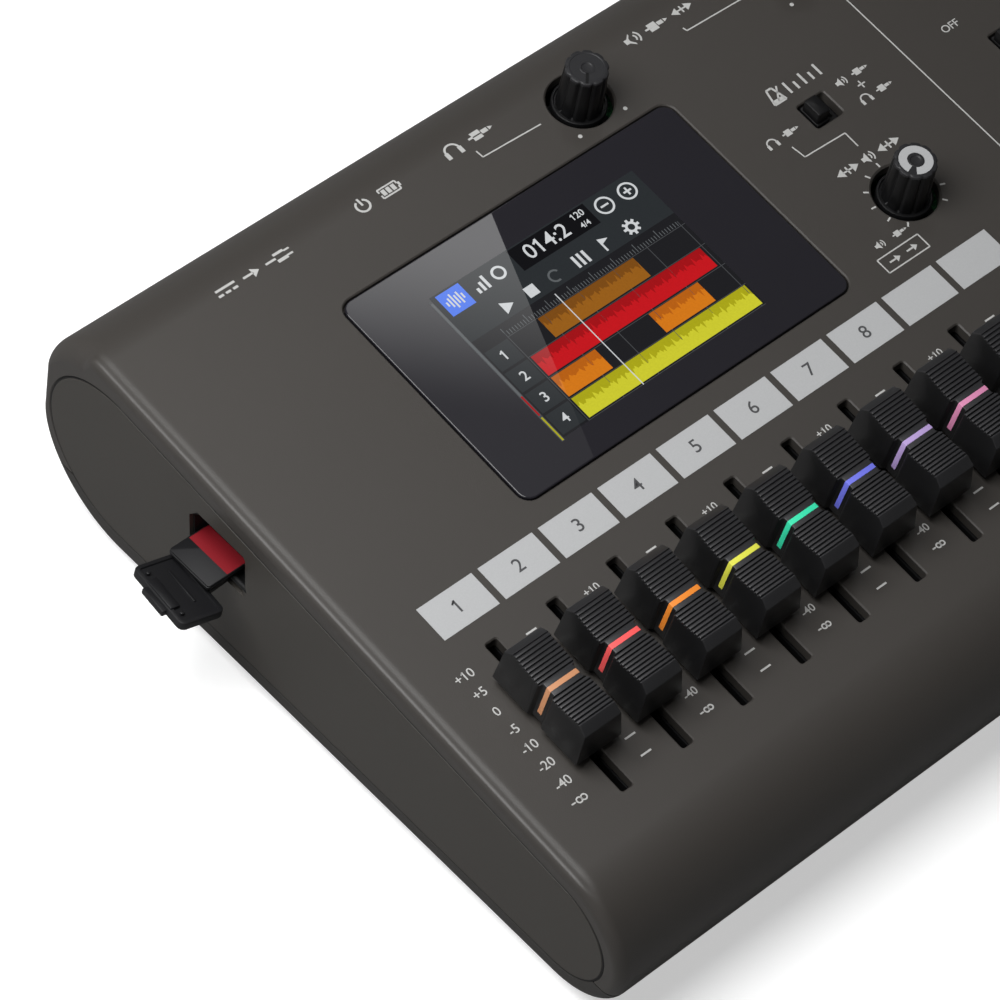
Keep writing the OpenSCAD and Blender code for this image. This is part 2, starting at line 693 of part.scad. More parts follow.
module fader_1() color("#202022") fader(1);
module fader_2() color("#202022") fader(2);
module fader_3() color("#202022") fader(3);
module fader_4() color("#202022") fader(4);
module fader_5() color("#202022") fader(5);
module fader_6() color("#202022") fader(6);
module fader_7() color("#202022") fader(7);
module fader_8() color("#202022") fader(8);
module fader_9() color("#202022") fader(9);
module fader_10() color("#202022") fader(10);
module fader_1_line() color("#cd9169") fader_line(1);
module fader_2_line() color("#fa5f5f") fader_line(2);
module fader_3_line() color("#f08c32") fader_line(3);
module fader_4_line() color("#e1e150") fader_line(4);
module fader_5_line() color("#3ce1af") fader_line(5);
module fader_6_line() color("#7378e6") fader_line(6);
module fader_7_line() color("#b9a0d7") fader_line(7);
module fader_8_line() color("#dc8cb4") fader_line(8);
module fader_9_line() color("#b4b4b4") fader_line(9);
module fader_10_line() color("#eeeeee") fader_line(10);

// Fluted knob with a flange and its shaft
module knob(i) in_frame() on_panel(knob_at[i][0], knob_at[i][1]) {
  difference() {
    union() {
      translate([0, 0, -1.2]) cylinder(r = knob_flange_r, h = 1.8);
      cylinder(r1 = knob_top_r + 0.7, r2 = knob_top_r, h = knob_h);
    }
    for (a = [0 : knob_flutes - 1]) rotate([0, 0, a * 360 / knob_flutes])
      translate([knob_top_r + 0.75, 0, 1.2]) rotate([0, -2.4, 0]) cylinder(r = 0.7, h = knob_h);
  }
  translate([0, 0, 1.2 - board_n]) cylinder(r = shaft_r, h = board_n);
}

module phones_knob() color("#29292b") knob(0);
module output_knob() color("#29292b") knob(1);
module balance_knob() color("#29292b") knob(2);
module gain_1_knob() color("#29292b") knob(3);
module gain_2_knob() color("#29292b") knob(4);

// Slide switch at the left end of its travel
module slider(i) in_frame() on_panel(switch_at[i][0] - switch_travel / 2, switch_at[i][1]) {
  block(switch_w - switch_travel - 2 * run_gap - 0.2, switch_l - 2 * run_gap - 0.2, wall - 0.3, [0,
    0, 0.1 - wall]);
  block(3, 4.4, 2.7, [0, 0, -0.3]);
  block(2, 1.6, 2.2, [0, 0, -wall - 1.6]);
}

module click_switch() color("#1d1d1f") slider(0);
module phantom_switch() color("#1d1d1f") slider(1);
module hi_z_switch() color("#1d1d1f") slider(2);

module button(i) in_frame() on_panel(button_at[i][0], button_at[i][1]) {
  translate([0, 0, -wall - 1.8]) pad(button_w, button_l, 1.8, wall + 1.8 + button_h);
  translate([0, 0, -wall - 1.8]) pad(button_w + 2.4, button_l + 2.4, 1.8, 1.4);
  translate([0, 0, 4.4 - board_n]) cylinder(r = 2, h = board_n - wall - 5);
}

module rewind_button() color("#2f2f31") button(0);
module forward_button() color("#2f2f31") button(1);
module stop_button() color("#2f2f31") button(2);
module play_button() color("#2f2f31") button(3);
module record_button() color("#2f2f31") button(4);

module power_button() color("#2f2f31") in_frame() translate([power_u - case_w / 2, inner_y - 6, jack_z])
  rotate([-90, 0, 0]) {
    cylinder(r = 3, h = wall + 6 + 1.2);
    translate([0, 0, 2]) cylinder(r = 4.4, h = 2.6);
  }

top_case();
bottom_case();
left_end_panel();
right_end_panel();
screen_glass();
lcd_module();
main_board();
jack_board();
fader_tracks();
pots();
switch_bodies();
tact_switches();
combo_jacks();
line_jacks();
usb_port();
card_socket();
leds();
feet();
screws();
batteries();
battery_contacts();
battery_door();
memory_card();
card_door();
fader_1();
fader_2();
fader_3();
fader_4();
fader_5();
fader_6();
fader_7();
fader_8();
fader_9();
fader_10();
fader_1_line();
fader_2_line();
fader_3_line();
fader_4_line();
fader_5_line();
fader_6_line();
fader_7_line();
fader_8_line();
fader_9_line();
fader_10_line();
phones_knob();
output_knob();
balance_knob();
gain_1_knob();
gain_2_knob();
click_switch();
phantom_switch();
hi_z_switch();
rewind_button();
forward_button();
stop_button();
play_button();
record_button();
power_button();
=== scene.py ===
import math
import bpy
import bmesh
from mathutils import Matrix, Quaternion, Vector


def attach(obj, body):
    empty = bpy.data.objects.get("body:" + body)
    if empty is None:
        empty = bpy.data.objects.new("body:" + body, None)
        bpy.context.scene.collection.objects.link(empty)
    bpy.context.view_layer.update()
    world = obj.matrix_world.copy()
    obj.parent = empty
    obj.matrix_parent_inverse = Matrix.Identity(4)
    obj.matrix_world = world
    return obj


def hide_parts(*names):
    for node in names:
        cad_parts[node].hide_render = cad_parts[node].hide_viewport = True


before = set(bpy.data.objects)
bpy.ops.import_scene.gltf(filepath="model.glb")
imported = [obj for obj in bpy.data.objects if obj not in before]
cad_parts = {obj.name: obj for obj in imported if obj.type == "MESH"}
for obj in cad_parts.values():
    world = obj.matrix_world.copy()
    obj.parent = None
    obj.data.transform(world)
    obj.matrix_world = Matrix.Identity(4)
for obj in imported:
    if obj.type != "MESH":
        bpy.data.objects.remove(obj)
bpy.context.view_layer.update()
print("frame loaded:", len(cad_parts), "nodes")


def moved(x, y, z=0):
    return Matrix.Translation((x, y, z))


# Pieces are modelled in millimetres in a frame of their own and come to metres when they are placed
case = {"w": 264, "d": 156.5, "tilt": 7.2, "noseR": 16.1, "lowR": 21.5, "topR": 15, "topIn": 1.3,
        "wall": 2.4, "endWall": 3.6, "seam": 9.5, "seamGap": 0.2, "foot": 2, "shift": 7.45, "knobBack": 4.2,
        "noseRound": 2.4, "lowRound": 1.3, "rearRound": 5.0, "arcSteps": 36, "recess": 8, "recessH": 24}
halfW, halfD = case["w"] / 2, case["d"] / 2
noseR, lowR, topR = case["noseR"], case["lowR"], case["topR"]
tilt = math.radians(case["tilt"])
noseY, lowY, topY = noseR - halfD, halfD - lowR, halfD - case["topIn"] - topR
topZ = noseR + (noseR - topR + (topY - noseY) * math.sin(tilt)) / math.cos(tilt)
panelL = (topY - noseY) * math.cos(tilt) + (topZ - noseR) * math.sin(tilt)
knobRow = panelL - case["knobBack"]
faceY, jackZ = halfD - case["recess"], lowR
# Case frame: middle of the case, bottom at zero. Panel frame: from the left end plane, up the slope, off the panel
caseFrame = Matrix.Scale(0.001, 4) @ moved(case["shift"], 0, case["foot"])
panelInCase = moved(-halfW, noseY - noseR * math.sin(tilt), noseR * (1 + math.cos(tilt))) @ Matrix.Rotation(tilt, 4, "X")
panelFrame = caseFrame @ panelInCase


def leaveEdit():
    if bpy.context.mode != "OBJECT":
        bpy.ops.object.mode_set(mode="OBJECT")


def choose(*pieces):
    leaveEdit()
    bpy.ops.object.select_all(action="DESELECT")
    for piece in pieces:
        piece.select_set(True)
    if pieces:
        bpy.context.view_layer.objects.active = pieces[0]


def named(name):
    piece = bpy.context.active_object
    piece.name = name
    piece.data.name = name
    return piece


def addBox(name, size, at=(0, 0, 0)):
    choose()
    bpy.ops.mesh.primitive_cube_add(size=1, location=at)
    piece = named(name)
    piece.scale = size
    bpy.ops.object.transform_apply(location=True, rotation=True, scale=True)
    return piece


def addOutline(name, points):  # one flat face whose corners are set one by one
    choose()
    bpy.ops.mesh.primitive_circle_add(vertices=len(points), radius=1, fill_type="NGON")
    piece = named(name)
    for vert, point in zip(piece.data.vertices, points):
        vert.co = point
    return piece


def pick(piece, kind, test):
    choose(piece)
    bpy.ops.object.mode_set(mode="EDIT")
    bpy.ops.mesh.select_mode(type=kind)
    bpy.ops.mesh.select_all(action="DESELECT")
    mesh = bmesh.from_edit_mesh(piece.data)
    for item in {"EDGE": mesh.edges, "FACE": mesh.faces}[kind]:
        if test(item):
            item.select_set(True)
    mesh.select_flush_mode()
    bmesh.update_edit_mesh(piece.data)


def outwards(piece):
    pick(piece, "FACE", lambda face: True)
    bpy.ops.mesh.normals_make_consistent(inside=False)
    leaveEdit()


def roundEdges(piece, test, width, steps=3):
    pick(piece, "EDGE", test)
    bpy.ops.mesh.bevel(offset=width, segments=steps, profile=0.5, affect="EDGES", clamp_overlap=False)
    leaveEdit()


def loft(name, rings):  # a face pulled from ring to ring, closed at both ends
    piece = addOutline(name, rings[0])
    spot = lambda co: (round(co[0], 4), round(co[1], 4), round(co[2], 4))
    pick(piece, "FACE", lambda face: True)
    for last, ring in zip(rings, rings[1:]):
        goal = {spot(Vector(a)): b for a, b in zip(last, ring)}
        bpy.ops.mesh.extrude_region_move(TRANSFORM_OT_translate={"value": (0, 0, 0)})
        mesh = bmesh.from_edit_mesh(piece.data)
        for vert in mesh.verts:
            if vert.select:
                vert.co = goal[spot(vert.co)]
        bmesh.update_edit_mesh(piece.data)
    leaveEdit()
    outwards(piece)
    return piece


def flat(points, z=0):
    return [(x, y, z) for x, y in points]


def alongX(points, x):
    return [(x, y, z) for y, z in points]


def acrossX(name, points, xs):  # an outline in y and z, drawn out along x
    return loft(name, [alongX(points, x) for x in xs])


def acrossY(name, points, mid, half):  # an outline in x and z, drawn out along y
    return loft(name, [[(x, mid + s * half, z) for x, z in points] for s in (-1, 1)])


def acrossZ(name, points, zs):  # an outline in x and y, drawn out along z
    return loft(name, [flat(points, z) for z in zs])


def polar(r, a, mid=(0, 0)):
    return (mid[0] + r * math.cos(a), mid[1] + r * math.sin(a))


def circlePoints(r, sides=48, mid=(0, 0)):
    return [polar(r, math.tau * k / sides, mid) for k in range(sides)]


def rectPoints(w, l, r, grow=0.0, steps=6):
    points = []
    for sx, sy, start in ((1, 1, 0), (-1, 1, 90), (-1, -1, 180), (1, -1, 270)):
        corner = (sx * (w / 2 - r), sy * (l / 2 - r))
        points += [polar(r + grow, math.radians(start + 90 * k / steps), corner) for k in range(steps + 1)]
    return points


def boxPoints(u0, v0, u1, v1):
    return [(u0, v0), (u1, v0), (u1, v1), (u0, v1)]


def sinkTool(name, shape, depth, flare):  # cutter for an opening with a small chamfer at the surface
    return loft(name, [flat(shape(0), -depth), flat(shape(0), -flare), flat(shape(flare + 0.8), 0.8)])


def put(piece, place):
    piece.data.transform(place)
    piece.data.update()
    return piece


def joinAll(pieces):
    choose(*pieces)
    if len(pieces) > 1:
        bpy.ops.object.join()
    return pieces[0]


def copyOf(piece, name):
    twin = piece.copy()
    twin.data = piece.data.copy()
    twin.name = twin.data.name = name
    bpy.context.scene.collection.objects.link(twin)
    return twin


def discard(*pieces):
    for piece in pieces:
        bpy.data.objects.remove(piece)


def applyModifier(piece, kind, **settings):
    choose(piece)
    modifier = piece.modifiers.new("step", kind)
    for key, value in settings.items():
        setattr(modifier, key, value)
    bpy.ops.object.modifier_apply(modifier="step")
    return piece


def carve(piece, tool, operation="DIFFERENCE"):
    applyModifier(piece, "BOOLEAN", operation=operation, solver="EXACT", object=tool)
    discard(tool)
    return piece


def softEdges(piece, width, angle=35, steps=2):
    return applyModifier(piece, "BEVEL", width=width, segments=steps, limit_method="ANGLE",
                         angle_limit=math.radians(angle), use_clamp_overlap=True, harden_normals=False)


def smooth(piece, angle=32, weighted=True):
    choose(piece)
    bpy.ops.object.shade_smooth_by_angle(angle=math.radians(angle))
    if weighted:
        applyModifier(piece, "WEIGHTED_NORMAL", mode="FACE_AREA", weight=50, keep_sharp=True)
    return piece


def seat(piece, body, slotName, finish, *nodes):
    choose(piece)
    piece.data.materials.clear()
    piece.data.materials.append(finish)
    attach(piece, body)
    if nodes:
        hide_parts(*nodes)
    return piece


def tone(r, g, b):  # screen colour to linear light
    def line(v):
        v /= 255
        return v / 12.92 if v <= 0.04045 else ((v + 0.055) / 1.055) ** 2.4
    return (line(r), line(g), line(b), 1.0)


def scaled(colour, by):
    return (colour[0] * by, colour[1] * by, colour[2] * by, 1.0)


def grey(level):
    return (level, level, level, 1.0)


class Wire:  # one socket that Python operators can work on
    def __init__(self, nodes, socket):
        self.nodes, self.socket = nodes, socket

    def maths(self, operation, first, second):
        return self.nodes.make("ShaderNodeMath", {"operation": operation}, [first, second])

    def __add__(self, other): return self.maths("ADD", self, other)
    def __radd__(self, other): return self.maths("ADD", other, self)
    def __sub__(self, other): return self.maths("SUBTRACT", self, other)
    def __rsub__(self, other): return self.maths("SUBTRACT", other, self)
    def __mul__(self, other): return self.maths("MULTIPLY", self, other)
    def __rmul__(self, other): return self.maths("MULTIPLY", other, self)
    def __gt__(self, other): return self.maths("GREATER_THAN", self, other)
    def __lt__(self, other): return self.maths("LESS_THAN", self, other)


class Nodes:  # the node tree of a material or of the world
    def __init__(self, tree):
        self.tree = tree

    def make(self, kind, settings, inputs, output=0):
        node = self.tree.nodes.new(kind)
        for key, value in settings.items():
            setattr(node, key, value)
        for key, value in (inputs.items() if isinstance(inputs, dict) else enumerate(inputs)):
            if isinstance(value, Wire):
                self.tree.links.new(value.socket, node.inputs[key])
            else:
                node.inputs[key].default_value = value
        return Wire(self, node.outputs[output])

    def axis(self, wire, name):
        return self.make("ShaderNodeSeparateXYZ", {}, [wire], name)

    def rise(self, wire, bounds, kind="LINEAR"):
        limits = dict(zip(("From Min", "From Max", "To Min", "To Max"), bounds))
        return self.make("ShaderNodeMapRange", {"interpolation_type": kind}, {"Value": wire, **limits})


class Finish(Nodes):  # one material and its shader
    def __init__(self, name, **fixed):
        self.material = bpy.data.materials.new(name)
        self.material.use_nodes = True
        super().__init__(self.material.node_tree)
        self.shader = next(n for n in self.tree.nodes if n.type == "BSDF_PRINCIPLED")
        for key, value in fixed.items():
            self.shader.inputs[key.replace("_", " ")].default_value = value

    def spot(self):
        return self.make("ShaderNodeTexCoord", {}, {}, "Object")

    def noise(self, scale, detail=2.0, rough=0.5):
        return self.make("ShaderNodeTexNoise", {},
                         {"Vector": self.spot(), "Scale": scale, "Detail": detail, "Roughness": rough})

    def blend(self, amount, first, second):
        return self.make("ShaderNodeMix", {"data_type": "RGBA"}, {0: amount, 6: first, 7: second}, 2)

    def vary(self, amount, colour, low, high):  # a colour between a darker and a lighter self
        return self.blend(amount, scaled(colour, low), scaled(colour, high))

    def feed(self, **links):
        for key, wire in links.items():
            self.tree.links.new(wire.socket, self.shader.inputs[key.replace("_", " ")])

    def bump(self, height, strength, depth):
        return self.make("ShaderNodeBump", {}, {"Strength": strength, "Distance": depth, "Height": height})


def mouldedPlastic(name, colour, rough=0.5, grain=4200.0, bumpy=0.25, level=0.35, topLitColour=None):
    finish = Finish(name, Specular_IOR_Level=level)
    cloud, fine = finish.noise(28.0, 3.0), finish.noise(grain, 2.0, 0.6)
    patches = cloud * 0.7 + fine * 0.3
    base = finish.vary(patches, colour, 0.94, 1.06)
    if topLitColour:  # paler on faces that point up: painted light from above
        paintedTopLight = finish.make("ShaderNodeAttribute", {"attribute_name": "paintedTopLight"}, {}, "Fac")
        base = finish.blend(paintedTopLight, base, finish.vary(patches, topLitColour, 0.94, 1.06))
    finish.feed(Base_Color=base, Roughness=rough - 0.06 + 0.12 * fine, Normal=finish.bump(fine, bumpy, 0.00006))
    return finish.material


def glossyBlack(name, colour, rough=0.06, level=0.3):
    finish = Finish(name, Specular_IOR_Level=level)
    smear = finish.noise(60.0, 4.0)
    finish.feed(Base_Color=finish.vary(smear, colour, 0.93, 1.07), Roughness=rough + 0.012 * smear)
    return finish.material


def brushedMetal(name, colour, rough=0.32):
    finish = Finish(name, Metallic=1.0)
    drawn = finish.make("ShaderNodeMapping", {}, {"Vector": finish.spot(), "Scale": (900.0, 9000.0, 9000.0)})
    streak = finish.make("ShaderNodeTexNoise", {}, {"Vector": drawn, "Scale": 1.0, "Detail": 3.0})
    finish.feed(Base_Color=finish.vary(streak, colour, 0.85, 1.1), Roughness=rough + 0.15 * streak,
                Normal=finish.bump(streak, 0.1, 0.00003))
    return finish.material


def printInk(name, colour, rough=0.55):
    finish = Finish(name, Specular_IOR_Level=0.3)
    fleck = finish.noise(3500.0, 2.0)
    finish.feed(Base_Color=finish.vary(fleck, colour, 0.93, 1.05), Roughness=rough + 0.1 * fleck)
    return finish.material


def litPixels(name, colour, rough=0.0, level=0.3):  # a lit part of the display, seen through the glass
    finish = Finish(name, Specular_IOR_Level=level, Base_Color=(0.004, 0.004, 0.005, 1.0), Emission_Strength=1.0)
    glow = finish.noise(2600.0, 1.0)
    finish.feed(Emission_Color=finish.vary(glow, colour, 0.9, 1.08), Roughness=rough + 0.01 * glow)
    return finish.material


def circuitBoard(name, colour, trace):
    finish = Finish(name, Specular_IOR_Level=0.5)
    lines = finish.make("ShaderNodeTexBrick", {"offset": 0.5},
                        {"Vector": finish.spot(), "Scale": 260.0, "Mortar Size": 0.03,
                         "Color1": colour, "Color2": scaled(colour, 0.9), "Mortar": trace})
    fine = finish.noise(900.0, 3.0)
    finish.feed(Base_Color=finish.blend(0.25 * fine, lines, scaled(colour, 0.7)), Roughness=0.35 + 0.15 * fine)
    return finish.material


cells = {"start": 51.0, "pitch": 52.0, "band": 35.0}


def cellWrap(name, colour, band):  # wrapper with a copper band towards the plus end
    finish = Finish(name, Metallic=0.4)
    x = finish.axis(finish.spot(), "X") * 1000.0 + (cells["start"] - case["shift"])
    along = finish.make("ShaderNodeMath", {"operation": "MODULO"}, [x, cells["pitch"]])
    fine = finish.noise(1200.0, 2.0)
    finish.feed(Base_Color=finish.blend(along > cells["band"], finish.vary(fine, colour, 0.9, 1.1), band),
                Roughness=0.28 + 0.1 * fine)
    return finish.material


finishes = {
    "case": mouldedPlastic("casePlastic", tone(63, 60, 57), 0.42, 4200.0, 0.3, 0.42),
    "base": mouldedPlastic("basePlastic", tone(52, 50, 48), 0.45, 4200.0, 0.3, 0.35),
    "end": mouldedPlastic("endPlastic", tone(64, 61, 57), 0.45, 4200.0, 0.3, 0.35),
    # the caps' second tone, on faces that point up, is painted light from above
    "cap": mouldedPlastic("capPlastic", tone(25, 25, 26), 0.4, 5200.0, 0.12, 0.45, tone(46, 46, 48)),
    "knob": mouldedPlastic("knobPlastic", tone(17, 17, 18), 0.34, 5200.0, 0.1, 0.3),
    "glass": glossyBlack("screenGlass", tone(36, 35, 40), 0.0, 0.5),
    "label": printInk("labelInk", tone(180, 181, 182)),
    "ink": printInk("whiteInk", tone(188, 188, 186)),
    "digit": printInk("digitInk", tone(74, 74, 76)),
    "door": mouldedPlastic("doorPlastic", tone(24, 24, 26), 0.4, 5200.0, 0.15, 0.4),
    "key": mouldedPlastic("keyPlastic", tone(52, 51, 50), 0.45, 5200.0, 0.2, 0.4),
    # lighter grey for the knobs' crowns: painted light falling on their tops
    "knobLitTop": mouldedPlastic("knobCrownLitPlastic", tone(40, 40, 42), 0.42, 5200.0, 0.12, 0.35),
    "track": mouldedPlastic("trackPlastic", tone(16, 16, 17), 0.6),
    "card": glossyBlack("cardPlastic", tone(22, 22, 24), 0.45, 0.22),
    "red": printInk("cardRed", tone(132, 12, 26), 0.55),
    "jack": mouldedPlastic("jackPlastic", tone(28, 28, 30), 0.4, 5200.0, 0.15, 0.4),
    "metal": brushedMetal("plainMetal", tone(186, 188, 192)),
    "rubber": mouldedPlastic("footRubber", tone(26, 26, 27), 0.8, 2600.0, 0.4, 0.2),
    "lcd": glossyBlack("lcdFilm", tone(22, 24, 30), 0.2),
    "board": circuitBoard("boardGreen", tone(24, 74, 44), tone(52, 112, 66)),
    "lamp": litPixels("ledLens", tone(150, 26, 22), 0.2, 0.5),
    "cell": cellWrap("cellWrap", tone(44, 62, 92), tone(176, 128, 70)),
    "record": printInk("recordRed", tone(190, 40, 36), 0.45),
}
print("finishes ready:", len(finishes))


def roundAll(circles, steps):  # outline drawn tight round a few circles
    def turn(p, q):
        return math.atan2(q[1] - p[1], q[0] - p[0]) - math.acos((p[2] - q[2]) / math.dist(p[:2], q[:2]))
    points = []
    for k, mid in enumerate(circles):
        start, end = turn(circles[k - 1], mid), turn(mid, circles[(k + 1) % len(circles)])
        while end < start:
            end += math.tau
        while end >= start + math.tau:
            end -= math.tau
        points += [polar(mid[2], start + (end - start) * step / steps, mid) for step in range(steps + 1)]
    return points


def caseOutline(drop):
    circles = [(noseY, noseR, noseR - drop), (lowY, lowR, lowR - drop), (topY, topZ, topR - drop)]
    return roundAll(circles, case["arcSteps"])


endPanel = {"thick": 1.5, "proud": 0.02, "gap": 0.3, "margin": 4.4, "rearMargin": 2.5, "round": 0.18}


def ovalOutline(drop):
    frontEnd, rearEnd = noseR - endPanel["margin"], lowR - endPanel["rearMargin"]
    circles = [(noseY, noseR, frontEnd - drop), (lowY, endPanel["margin"] + rearEnd, rearEnd - drop)]
    return roundAll(circles, 2 * case["arcSteps"])


faders = {"count": 10, "pitch": 13.89, "first": 19.3, "slotV": 24.7, "slotL": 35.6, "slotW": 2.6, "rest": 0.9}
faderSpots = [(faders["first"] + k * faders["pitch"], faders["slotV"]) for k in range(faders["count"])]
glass = {"w": 79, "l": 51.3, "r": 2.5, "thick": 1.6, "gap": 0.35, "u": 42.8, "v": knobRow - 9.8 - 51.3}
glassSpot = (glass["u"] + glass["w"] / 2, glass["v"] + glass["l"] / 2)
knobs = {"phones": (109, knobRow), "output": (162.7, knobRow), "balance": (144.5, knobRow - 51.3),
         "gain_1": (189.7, knobRow - 13), "gain_2": (227.7, knobRow - 13)}
switches = {"click": (144.5, knobRow - 28), "phantom": (186.2, knobRow - 37), "hi_z": (224.2, knobRow - 37)}
keys = {"rewind": (197.5, 48.7), "forward": (224.5, 48.7),
        "stop": (184, 26.7), "play": (211, 26.7), "record": (238, 26.7)}
lights = [(201.7, knobRow - 13), (239.7, knobRow - 13)]
cardBay = {"l": 16.4, "h": 11.4, "y": 27.7, "z": 22.3, "cut": 2.2}


def cardOutline(grow):
    y0, y1 = cardBay["y"] - cardBay["l"] / 2 - grow, cardBay["y"] + cardBay["l"] / 2 + grow
    z0, z1, cut = cardBay["z"] - grow, cardBay["z"] + cardBay["h"] + grow, cardBay["cut"]
    return [(y0 + cut / 2, z0), (y1, z0), (y1, z1 - cut), (y1 - cut, z1),
            (y0 + cut / 2, z1), (y0, z1 - cut / 2), (y0, z0 + cut / 2)]


# How far the ledge beside the panel lies below it, at that distance from the end plane
ledge = [(0, 2.3), (0.06, 1.7), (0.16, 1.22), (0.3, 0.86), (0.46, 0.6), (0.64, 0.42), (0.84, 0.305),
         (1.05, 0.245), (1.25, 0.22), (1.5, 0.21), (1.75, 0.2), (1.95, 0.175), (2.15, 0.14), (2.35, 0.1),
         (2.55, 0.065), (2.75, 0.035), (2.95, 0.014), (3.2, 0.003), (3.6, 0), (4.4, 0)]


def ease(t):
    t = min(1, max(0, t))
    return t * t * (3 - 2 * t)


def caseBlock(name):  # the whole case as one solid: a ledge along the panel's ends, plain round edges elsewhere
    steps, low, high = case["arcSteps"], case["lowRound"], case["rearRound"]
    rounds = [case["noseRound"]] * (steps + 1)
    rounds += [low + (high - low) * ease(k / steps - 0.8) for k in range(2 * steps + 2)]
    plain = [ease((1.35 * k - 2) / 4.5) for k in range(steps + 1)] + [1] * (steps + 1)
    plain += [ease((0.74 * (steps - k) - 3) / 5) for k in range(steps + 1)]
    points = list(zip(caseOutline(0), caseOutline(1), rounds, plain))
    rings = []
    for e, drop in ledge:  # a point goes in by the ledge's depth, by the round edge's or by a mix
        ring = []
        for a, b, r, share in points:
            deep = drop + (r - math.sqrt(r * r - max(0, r - e) ** 2) - drop) * share
            ring.append((a[0] + (b[0] - a[0]) * deep, a[1] + (b[1] - a[1]) * deep))
        rings.append((halfW - e, ring))
    rings += [(-x, ring) for x, ring in reversed(rings)]
    return loft(name, [alongX(ring, -x) for x, ring in rings])


def endPocketTool(name, side):
    rings = [(0, endPanel["proud"] - endPanel["thick"]), (0, -0.25), (-0.25, 0), (-1.05, 0.8)]
    return loft(name, [alongX(ovalOutline(drop), side * (halfW + out)) for drop, out in rings])


rear = {"lines": [85, 122.7, 145.7], "combos": [189.7, 227.7], "power": 36, "port": 64, "portZ": 13.5,
        "lineR": 4.6, "comboR": 11, "powerR": 3, "w": case["w"] - 2 * case["endWall"] - 2 * lowR}
footSpots = [(x, y) for x in (-106.5, 106.5) for y in (-54.15, 48.75)]
screwSpots = [(x, y) for x in (-123.5, 123.5) for y in (-52.15, 49.75)]
battery = {"w": 105.4, "l": 30.4, "y": -22.55}


def rearPlace(u, z=jackZ):  # off the rear face, at that distance from the left end
    return moved(u - halfW, faceY, z) @ Matrix.Rotation(-math.pi / 2, 4, "X")


def lathe(name, profile, sides=56):  # a turned piece: radius and height, ring by ring
    return loft(name, [flat(circlePoints(r, sides), z) for r, z in profile])


def turnedRing(name, inner, outer, low, high, soft=0.3, sides=56):
    rim = [(outer, low), (outer, high - soft), (outer - 0.3 * soft, high - 0.3 * soft), (outer - soft, high)]
    bore = [(inner, low - 1), (inner, high - soft), (inner + soft + 0.2, high + 0.2)]
    return carve(lathe(name, rim, sides), lathe("ringBore", bore, sides))


topCase = caseBlock("topCase")
bottomCase = copyOf(topCase, "bottomCase")
glassSeat = (glass["w"] + 2 * glass["gap"], glass["l"] + 2 * glass["gap"], glass["r"] + glass["gap"])
openings = [("slot", faderSpots, lambda g: rectPoints(faders["slotW"], faders["slotL"], 0.5, g), 6, 0.25),
            ("glassSeat", [glassSpot], lambda g: rectPoints(*glassSeat, g), glass["thick"], 0.25),
            ("knobHole", knobs.values(), lambda g: circlePoints(6.45 + g, 64), 6, 0.35),
            ("switchHole", switches.values(), lambda g: rectPoints(6.8, 6.1, 0.6, g), 6, 0.25),
            ("keyHole", keys.values(), lambda g: rectPoints(20.6, 13.6, 2, g), 6, 0.25),
            ("lightHole", lights, lambda g: circlePoints(1.02 + g, 24), 6, 0.15)]
tools = [put(sinkTool(name, shape, deep, flare), moved(*at))
         for name, spots, shape, deep, flare in openings for at in spots]
carve(topCase, put(joinAll(tools), panelInCase))
tools = [endPocketTool("pocket", s) for s in (-1, 1)]
carve(bottomCase, joinAll([copyOf(tool, "pocketLow") for tool in tools]))
wells = [put(lathe("footWell", [(7.05, -1), (7.05, 0.8)]), moved(*at)) for at in footSpots]
wells += [put(lathe("screwWell", [(2.85, -1), (2.85, 2)]), moved(*at)) for at in screwSpots]
carve(bottomCase, joinAll(wells))
recess = [(x, jackZ + z) for x, z in rectPoints(rear["w"], case["recessH"], 1.2)]
tools.append(loft("recess", [[(x, y, z) for x, z in recess] for y in (faceY, faceY + 16)]))
carve(topCase, joinAll(tools))
bores = [(u, rear["lineR"] + 0.05) for u in rear["lines"]] + [(u, rear["comboR"] + 0.05) for u in rear["combos"]]
bores.append((rear["power"], rear["powerR"] + 0.3))
holes = [put(sinkTool("rearHole", lambda g: circlePoints(r + g, 64), 6, 0.25), rearPlace(u)) for u, r in bores]
holes.append(put(sinkTool("portHole", lambda g: rectPoints(9.4, 3.7, 1.8, g), 6, 0.25),
                 rearPlace(rear["port"], rear["portZ"])))
carve(topCase, joinAll(holes))
carve(topCase, acrossX("cardHole", cardOutline(0), (-halfW - 1, -halfW + 8)))
hollow = acrossX("inside", caseOutline(case["wall"]), [s * (halfW - case["endWall"]) for s in (-1, 1)])
carve(hollow, addBox("rearBox", (rear["w"] + 2 * case["wall"], 40, case["recessH"] + 2 * case["wall"]),
                     (0, faceY - case["wall"] + 20, jackZ)))
carve(bottomCase, copyOf(hollow, "bottomInside"))
carve(topCase, hollow)
for shell, name, low, high in ((topCase, "below", -200, case["seam"] + case["seamGap"]),
                               (bottomCase, "above", case["seam"] - case["seamGap"], 200)):
    carve(shell, addBox(name, (700, 400, high - low), (0, 0, (low + high) / 2)))
carve(bottomCase, addBox("bayWalls", (109.2, 34.2, 17.2), (0, battery["y"], 9.6)), "UNION")
carve(bottomCase, addBox("bayRoom", (106, 31, 20), (0, battery["y"], 6.6)))
print("case carved:", len(topCase.data.polygons), "faces")
smooth(topCase)
smooth(bottomCase)
seat(put(topCase, caseFrame), "recorder", "case_grey", finishes["case"], "top_case")
seat(put(bottomCase, caseFrame), "recorder", "base_grey", finishes["base"], "bottom_case")

